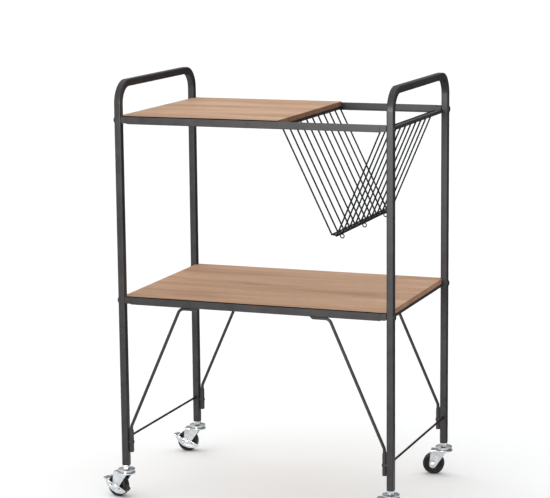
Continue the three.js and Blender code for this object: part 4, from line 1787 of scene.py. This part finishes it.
@dataclass
class Braces:
    """The four braces: a bent rod from under the lower rail to a foot on the post."""

    finishes: Finishes
    rod: float = 5.6 * MM
    rod_sides: int = 18
    reach: float = 140.8 * MM
    knee_reach: float = 104.8 * MM
    bend: float = 12.0 * MM
    bend_steps: int = 8
    foot_width: float = 5.6 * MM
    foot_depth: float = 7.0 * MM
    foot_height: float = 42.3 * MM
    foot_chamfer: float = 2.4 * MM
    knee_rise: float = 5.5 * MM
    web_width: float = 2.6 * MM
    web_depth: float = 3.0 * MM
    screw_rise: float = 18.8 * MM
    boss_sides: int = 24
    lap: float = 1.0 * MM
    edge: float = 0.5 * MM
    bar_steps: int = 3
    bar_angle: float = 20.0

    def rod_form(self, corners: list[Vector], side: int) -> Form:
        """The bent rod, cut at 45 degrees at its upper end.

        Args:
            corners: Its centre line, from the upper end.
            side: -1 at the left, 1 at the right.

        Returns:
            The closed form.
        """
        form = Form.disc(self.rod, self.rod_sides).follow(corners, self.bend, self.bend_steps)
        top = corners[0].z + self.rod / 2
        for vert in form.bm.verts:
            if abs(vert.co.x - corners[0].x) < NEAR:
                vert.co.x += side * (top - vert.co.z)
        return form.rounded(self.edge, above=STEEP)

    def foot_forms(self, inner: float, side: int, y: float, low: float) -> list[Form]:
        """The foot: a bar along the post, the web behind it and the boss round its screw.

        Args:
            inner: X of the face that looks away from the post.
            side: -1 at the left, 1 at the right.
            y: Its middle.
            low: Its lower end.

        Returns:
            The forms.
        """
        outer = inner + side * self.foot_width
        post = outer + side * self.web_width
        top = low + self.foot_height
        front = y - self.foot_depth / 2
        outline = [
            (inner, low),
            (outer, low),
            (outer, top),
            (inner + side * self.foot_chamfer, top),
            (inner, top - self.foot_chamfer),
        ]
        bar = Form.outline([Vector((x, front, z)) for x, z in outline])
        bar.thicken(Vector((0, self.foot_depth, 0)))
        bar.rounded(self.edge, self.bar_steps, self.bar_angle)
        start = outer - side * self.lap
        xs = sorted((start, post))
        half = Vector((0, self.web_depth / 2, 0))
        web = Form.box(Vector((xs[0], y, low)) - half, Vector((xs[1], y, top)) + half)
        height = low + self.screw_rise
        boss = Form.disc(self.foot_depth, self.boss_sides)
        boss.follow([Vector((x, y, height)) for x in (start, post)])
        return [bar, web.rounded(self.edge / 2), boss]

    def brace(self, corner: Corner) -> bpy.types.Object:
        """One brace.

        Args:
            corner: Where it stands.

        Returns:
            The object.
        """
        node = f"brace_{corner.value}"
        low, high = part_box(node)
        side = corner.side
        y = middle(low, high).y
        post = high.x if side > 0 else low.x
        inner = post - side * (self.web_width + self.foot_width)
        foot_x = inner + side * self.foot_width / 2
        foot_top = low.z + self.foot_height
        top = high.z - self.rod / 2
        corners = [
            Vector((post - side * self.reach, y, top)),
            Vector((post - side * self.knee_reach, y, top)),
            Vector((foot_x, y, foot_top + self.knee_rise)),
            Vector((foot_x, y, foot_top - self.foot_chamfer)),
        ]
        piece = Piece(f"brace_rod_{corner.value}", [node], Slot.PAINT, (self.finishes.paint,))
        piece.add(self.rod_form(corners, side), *self.foot_forms(inner, side, y, low.z))
        return piece.build()

    def build(self) -> None:
        """Builds the four braces."""
        for corner in Corner:
            self.brace(corner)


@dataclass(frozen=True)
class ScrewSizes:
    """Sizes of one kind of screw: its domed head, the hexagon sunk into it and its shank."""

    head: float
    height: float
    recess: float
    shank: float


@dataclass
class Screws:
    """Domed shelf screws on the posts, brace screws on the feet and board screws from below."""

    finishes: Finishes
    shelf: ScrewSizes = ScrewSizes(11.5 * MM, 2.3 * MM, 3.6 * MM, 5.0 * MM)
    brace: ScrewSizes = ScrewSizes(6.6 * MM, 1.4 * MM, 2.4 * MM, 3.5 * MM)
    board: ScrewSizes = ScrewSizes(6.0 * MM, 1.6 * MM, 2.2 * MM, 3.0 * MM)
    sides: int = 36
    steps: int = 7
    shank_sides: int = 16
    # Shares of the recess's width, of the head's radius and, the other three, of its height.
    crown: float = 0.75
    seat: float = 0.97
    lip: float = 0.15
    depth: float = 0.6
    lap: float = 0.2

    def head(self, sizes: ScrewSizes) -> Form:
        """A domed head on the XY plane with a hexagon sunk into its crown.

        Args:
            sizes: The screw's sizes.

        Returns:
            The closed form.
        """
        radius, crown, height = sizes.head / 2, sizes.recess * self.crown, sizes.height
        profile = [(0.0, 0.0), (radius * self.seat, 0.0)]
        for step in range(1, self.steps):
            angle = pi / 2 * step / self.steps
            rise = height * (self.lip + (1 - self.lip) * sin(angle))
            profile.append((crown + (radius - crown) * cos(angle), rise))
        form = Form.turned([*profile, (crown, height), (0.0, height)], self.sides)
        form.merge_flat(edge for edge in form.bm.edges if on(edge, z=height))
        top = form.top()
        rim = (crown - sizes.recess / 2) / 2
        bmesh.ops.inset_region(form.bm, faces=[top], thickness=rim, use_even_offset=True)
        sixth = pi / 3
        for vert in top.verts:
            angle = atan2(vert.co.y, vert.co.x) % sixth - sixth / 2
            vert.co.xy = vert.co.xy.normalized() * (sizes.recess / 2 / cos(angle))
        form.grow(top, Vector((0, 0, -height * self.depth)))
        return form

    def fastener(self, node: str, towards: Vector, sizes: ScrewSizes, slot: Slot) -> None:
        """One screw in place of its CAD node.

        Args:
            node: The CAD node.
            towards: The way that its head faces.
            sizes: Its sizes.
            slot: Its material slot.
        """
        low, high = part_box(node)
        length = abs((high - low).dot(towards))
        seat = middle(low, high) + towards * (length / 2 - sizes.height)
        turn = Vector((0, 0, 1)).rotation_difference(towards).to_matrix().to_4x4()
        finish = self.finishes.zinc if slot is Slot.ZINC else self.finishes.paint
        ends = [Vector((0, 0, sizes.height * self.lap)), Vector((0, 0, sizes.height - length))]
        piece = Piece(f"{node}_head", [node], slot, (finish,))
        for form in (self.head(sizes), Form.disc(sizes.shank, self.shank_sides).follow(ends)):
            piece.add(form.place(Matrix.Translation(seat) @ turn))
        piece.build()

    def build(self) -> None:
        """Builds every screw."""
        down = Vector((0, 0, -1))
        for corner in Corner:
            name, outward = corner.value, Vector((corner.side, 0, 0))
            self.fastener(f"brace_screw_{name}", -outward, self.brace, Slot.PAINT)
            for shelf in ("lower", "upper"):
                self.fastener(f"{shelf}_shelf_screw_{name}", outward, self.shelf, Slot.PAINT)
                self.fastener(f"{shelf}_board_screw_{name}", down, self.board, Slot.ZINC)


@dataclass
class Casters:
    """The four casters. Their sizes are drawn with the trail along +X and turned into place."""

    finishes: Finishes
    sizes: CasterSizes = CasterSizes()

    def placed(self, corner: Corner) -> Matrix:
        """Where a caster stands and how it is turned, from the record's joints.

        Args:
            corner: Its corner.

        Returns:
            What takes it there from the middle of the floor.
        """
        joints = {joint["name"]: joint for joint in frame["joints"]}
        swivel = Vector(joints[f"swivel_{corner.value}"]["pos_m"])
        away = Vector(joints[f"roll_{corner.value}"]["pos_m"]) - swivel
        turn = Matrix.Rotation(atan2(away.y, away.x), 4, "Z")
        return Matrix.Translation((swivel.x, swivel.y, 0)) @ turn

    def caster(self, corner: Corner) -> None:
        """One caster: what stays on the post, the fork, the wheel and the brake lever.

        Args:
            corner: Its corner.
        """
        name, own = corner.value, self.finishes
        stem, fork, lever = Stem(self.sizes), Fork(self.sizes), Lever(self.sizes)
        wheel = Wheel(self.sizes)
        reach = (lever.reach if corner.braked else self.sizes.outside) + self.sizes.gap
        # The pressed parts' second finish, black plastic, only paints the brake levers' slot floors
        # as shade.
        zinc, rivet, moulded = (own.zinc, own.plastic), (own.rivet,), (own.plastic, own.tread)
        kit = [
            ("caster_stem", "turned", "frame", Slot.ZINC, zinc, stem.forms()),
            ("caster_fork", "pressed", f"fork_{name}", Slot.ZINC, zinc, fork.forms()),
            ("caster_axle", "rivet", f"fork_{name}", Slot.ZINC, rivet, [fork.axle(reach)]),
            ("caster_wheel", "moulded", f"wheel_{name}", Slot.PLASTIC, moulded, [wheel.form()]),
        ]
        if corner.braked:
            kit.append(("brake_lever", "pressed", f"brake_{name}", Slot.ZINC, zinc, lever.forms()))
        for node, make, body, slot, finishes, forms in kit:
            piece = Piece(f"{node}_{make}_{name}", [f"{node}_{name}"], slot, finishes, body)
            piece.add(*(form.place(self.placed(corner)) for form in forms))
            piece.build()
        insert = frame["nodes"][f"caster_insert_{name}"]
        insert.data.materials.clear()
        insert.data.materials.append(own.plastic)

    def build(self) -> None:
        """Builds the four casters."""
        for corner in Corner:
            self.caster(corner)


# Camera and stage


@dataclass(frozen=True)
class Viewpoint:
    """The camera's place and turn, solved from the photograph."""

    across: float = 1.2706
    away: float = 3.4094
    height: float = 1.0751
    lens: float = 133.10
    sensor: float = 36.0
    farthest: float = 2000.0
    yaw: float = 20.758
    pitch: float = 9.844
    roll: float = -0.556

    def build(self) -> bpy.types.Object:
        """Makes the camera the scene's own.

        Returns:
            The object.
        """
        left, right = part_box("end_frame_left"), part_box("end_frame_right")
        centre = (left[0] + right[1]) / 2
        yaw, pitch, roll = radians(self.yaw), radians(self.pitch), radians(self.roll)
        ahead = Vector((-sin(yaw) * cos(pitch), cos(yaw) * cos(pitch), -sin(pitch)))
        level = Vector((cos(yaw), sin(yaw), 0))
        upright = level.cross(ahead)
        right_way = level * cos(roll) + upright * sin(roll)
        up_way = upright * cos(roll) - level * sin(roll)
        data = bpy.data.cameras.new("photo_view")
        data.lens, data.sensor_width, data.clip_end = self.lens, self.sensor, self.farthest
        camera = linked("photo_view", data)
        turn = Matrix((right_way, up_way, -ahead)).transposed().to_4x4()
        place = (centre.x + self.across, centre.y - self.away, self.height)
        camera.matrix_world = Matrix.Translation(place) @ turn
        bpy.context.scene.camera = camera
        return camera


@dataclass
class Studio:
    """A plain pale floor under soft light."""

    floor_colour: Colour = (0.872, 0.888, 0.892)
    floor_roughness: float = 0.7
    floor_sheen: float = 0.05
    floor_diameter: float = 2000.0
    floor_sides: int = 64
    # How bright the metal sees the floor, and where that falls to a dark flag.
    mirrored: float = 0.86
    mirrored_dark: float = 0.06
    flagged_way: Triple = (0.3, 0.95, 0.0)
    flag_start: float = 0.16
    flag_end: float = 0.5
    # The light of the sky and what the metal mirrors of it, each darker one way.
    brightest: float = 1.72
    mirrored_brightest: float = 1.25
    darkest: float = 0.12
    darkest_from: float = 0.75
    darker_way: Triple = (0.95, -0.45, -1.0)
    mirrored_darker_way: Triple = (0.35, 0.8, -0.6)
    # A soft square light that only shows as a sheen, and not on the boards.
    sheen_place: Triple = (-0.13, -3.5, 1.0)
    sheen_aim: Triple = (0.0, 0.0, 0.5)
    sheen_size: float = 1.0
    sheen_power: float = 110.0
    boards: tuple[str, ...] = ("lower_board_panel", "upper_board_panel")

    def floor(self) -> None:
        """A wide pale floor, which is mirrored in the trolley as if a dark flag lay behind it."""
        mesh = Form.disc(self.floor_diameter, self.floor_sides).mesh("floor")
        values = {"Roughness": self.floor_roughness, "Specular IOR Level": self.floor_sheen}
        surface = Surface("floor", values)
        surface.feed((*self.floor_colour, 1), surface.shader.inputs["Base Color"])
        flag = surface.dot(surface.place, Vector(self.flagged_way))
        lit, dark = self.mirrored, self.mirrored_dark
        grey = surface.span(flag, self.flag_start, self.flag_end, lit, dark)
        dim = surface.add("ShaderNodeBsdfDiffuse", {"Color": grey}).outputs["BSDF"]
        glossy = surface.add("ShaderNodeLightPath").outputs["Is Glossy Ray"]
        both = {0: glossy, 1: surface.shader.outputs["BSDF"], 2: dim}
        mixed = surface.add("ShaderNodeMixShader", both).outputs["Shader"]
        surface.feed(mixed, surface.tree.nodes["Material Output"].inputs["Surface"])
        mesh.materials.append(surface.material)
        floor = linked("floor", mesh)

    def sheen(self) -> None:
        """The soft square light in front."""
        data = bpy.data.lights.new("front_sheen", "AREA")
        data.shape, data.size, data.energy = "SQUARE", self.sheen_size, self.sheen_power
        light = linked("front_sheen", data)
        light.visible_camera = light.visible_diffuse = False
        place = Vector(self.sheen_place)
        turn = Vector((0, 0, -1)).rotation_difference((Vector(self.sheen_aim) - place).normalized())
        light.matrix_world = Matrix.Translation(place) @ turn.to_matrix().to_4x4()
        spared = bpy.data.collections.new("front_sheen_spared")
        for board in self.boards:
            spared.objects.link(bpy.data.objects[board])
        for item in spared.collection_objects:
            item.light_linking.link_state = "EXCLUDE"
        light.light_linking.receiver_collection = spared

    def sky(self) -> None:
        """White to the camera. The light is bright from above, dark from the right or behind."""
        world = bpy.data.worlds.new("studio")
        world.use_nodes = True
        graph = Graph(world.node_tree)
        direction = graph.add("ShaderNodeTexCoord").outputs["Generated"]
        rays = graph.add("ShaderNodeLightPath").outputs
        light, mirrored = (
            graph.span(
                graph.dot(direction, Vector(way).normalized()),
                -1.0,
                self.darkest_from,
                brightest,
                self.darkest,
            )
            for way, brightest in (
                (self.darker_way, self.brightest),
                (self.mirrored_darker_way, self.mirrored_brightest),
            )
        )
        unseen = graph.span(rays["Is Glossy Ray"], to_low=light, to_high=mirrored)
        shown = graph.span(rays["Is Camera Ray"], to_low=unseen)
        background = world.node_tree.nodes["Background"]
        graph.feed((1, 1, 1, 1), background.inputs["Color"])
        graph.feed(shown, background.inputs["Strength"])
        bpy.context.scene.world = world

    def build(self) -> None:
        """Lights the stage."""
        self.floor()
        self.sky()
        self.sheen()
        bpy.context.scene.view_settings.view_transform = "Standard"


def main() -> None:
    """Builds the pieces in order, then the camera and the stage."""
    logging.basicConfig(level=logging.INFO, format="%(name)s: %(message)s")
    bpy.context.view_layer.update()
    finishes = Finishes()
    parts: list[Any] = [
        EndFrames(finishes),
        ShelfFrames(finishes),
        Boards(finishes),
        Basket(finishes),
        Braces(finishes),
        Screws(finishes),
        Casters(finishes),
        Viewpoint(),
        Studio(),
    ]
    for part in parts:
        LOG.info("building %s", type(part).__name__)
        part.build()


if __name__ == "__main__":
    main()
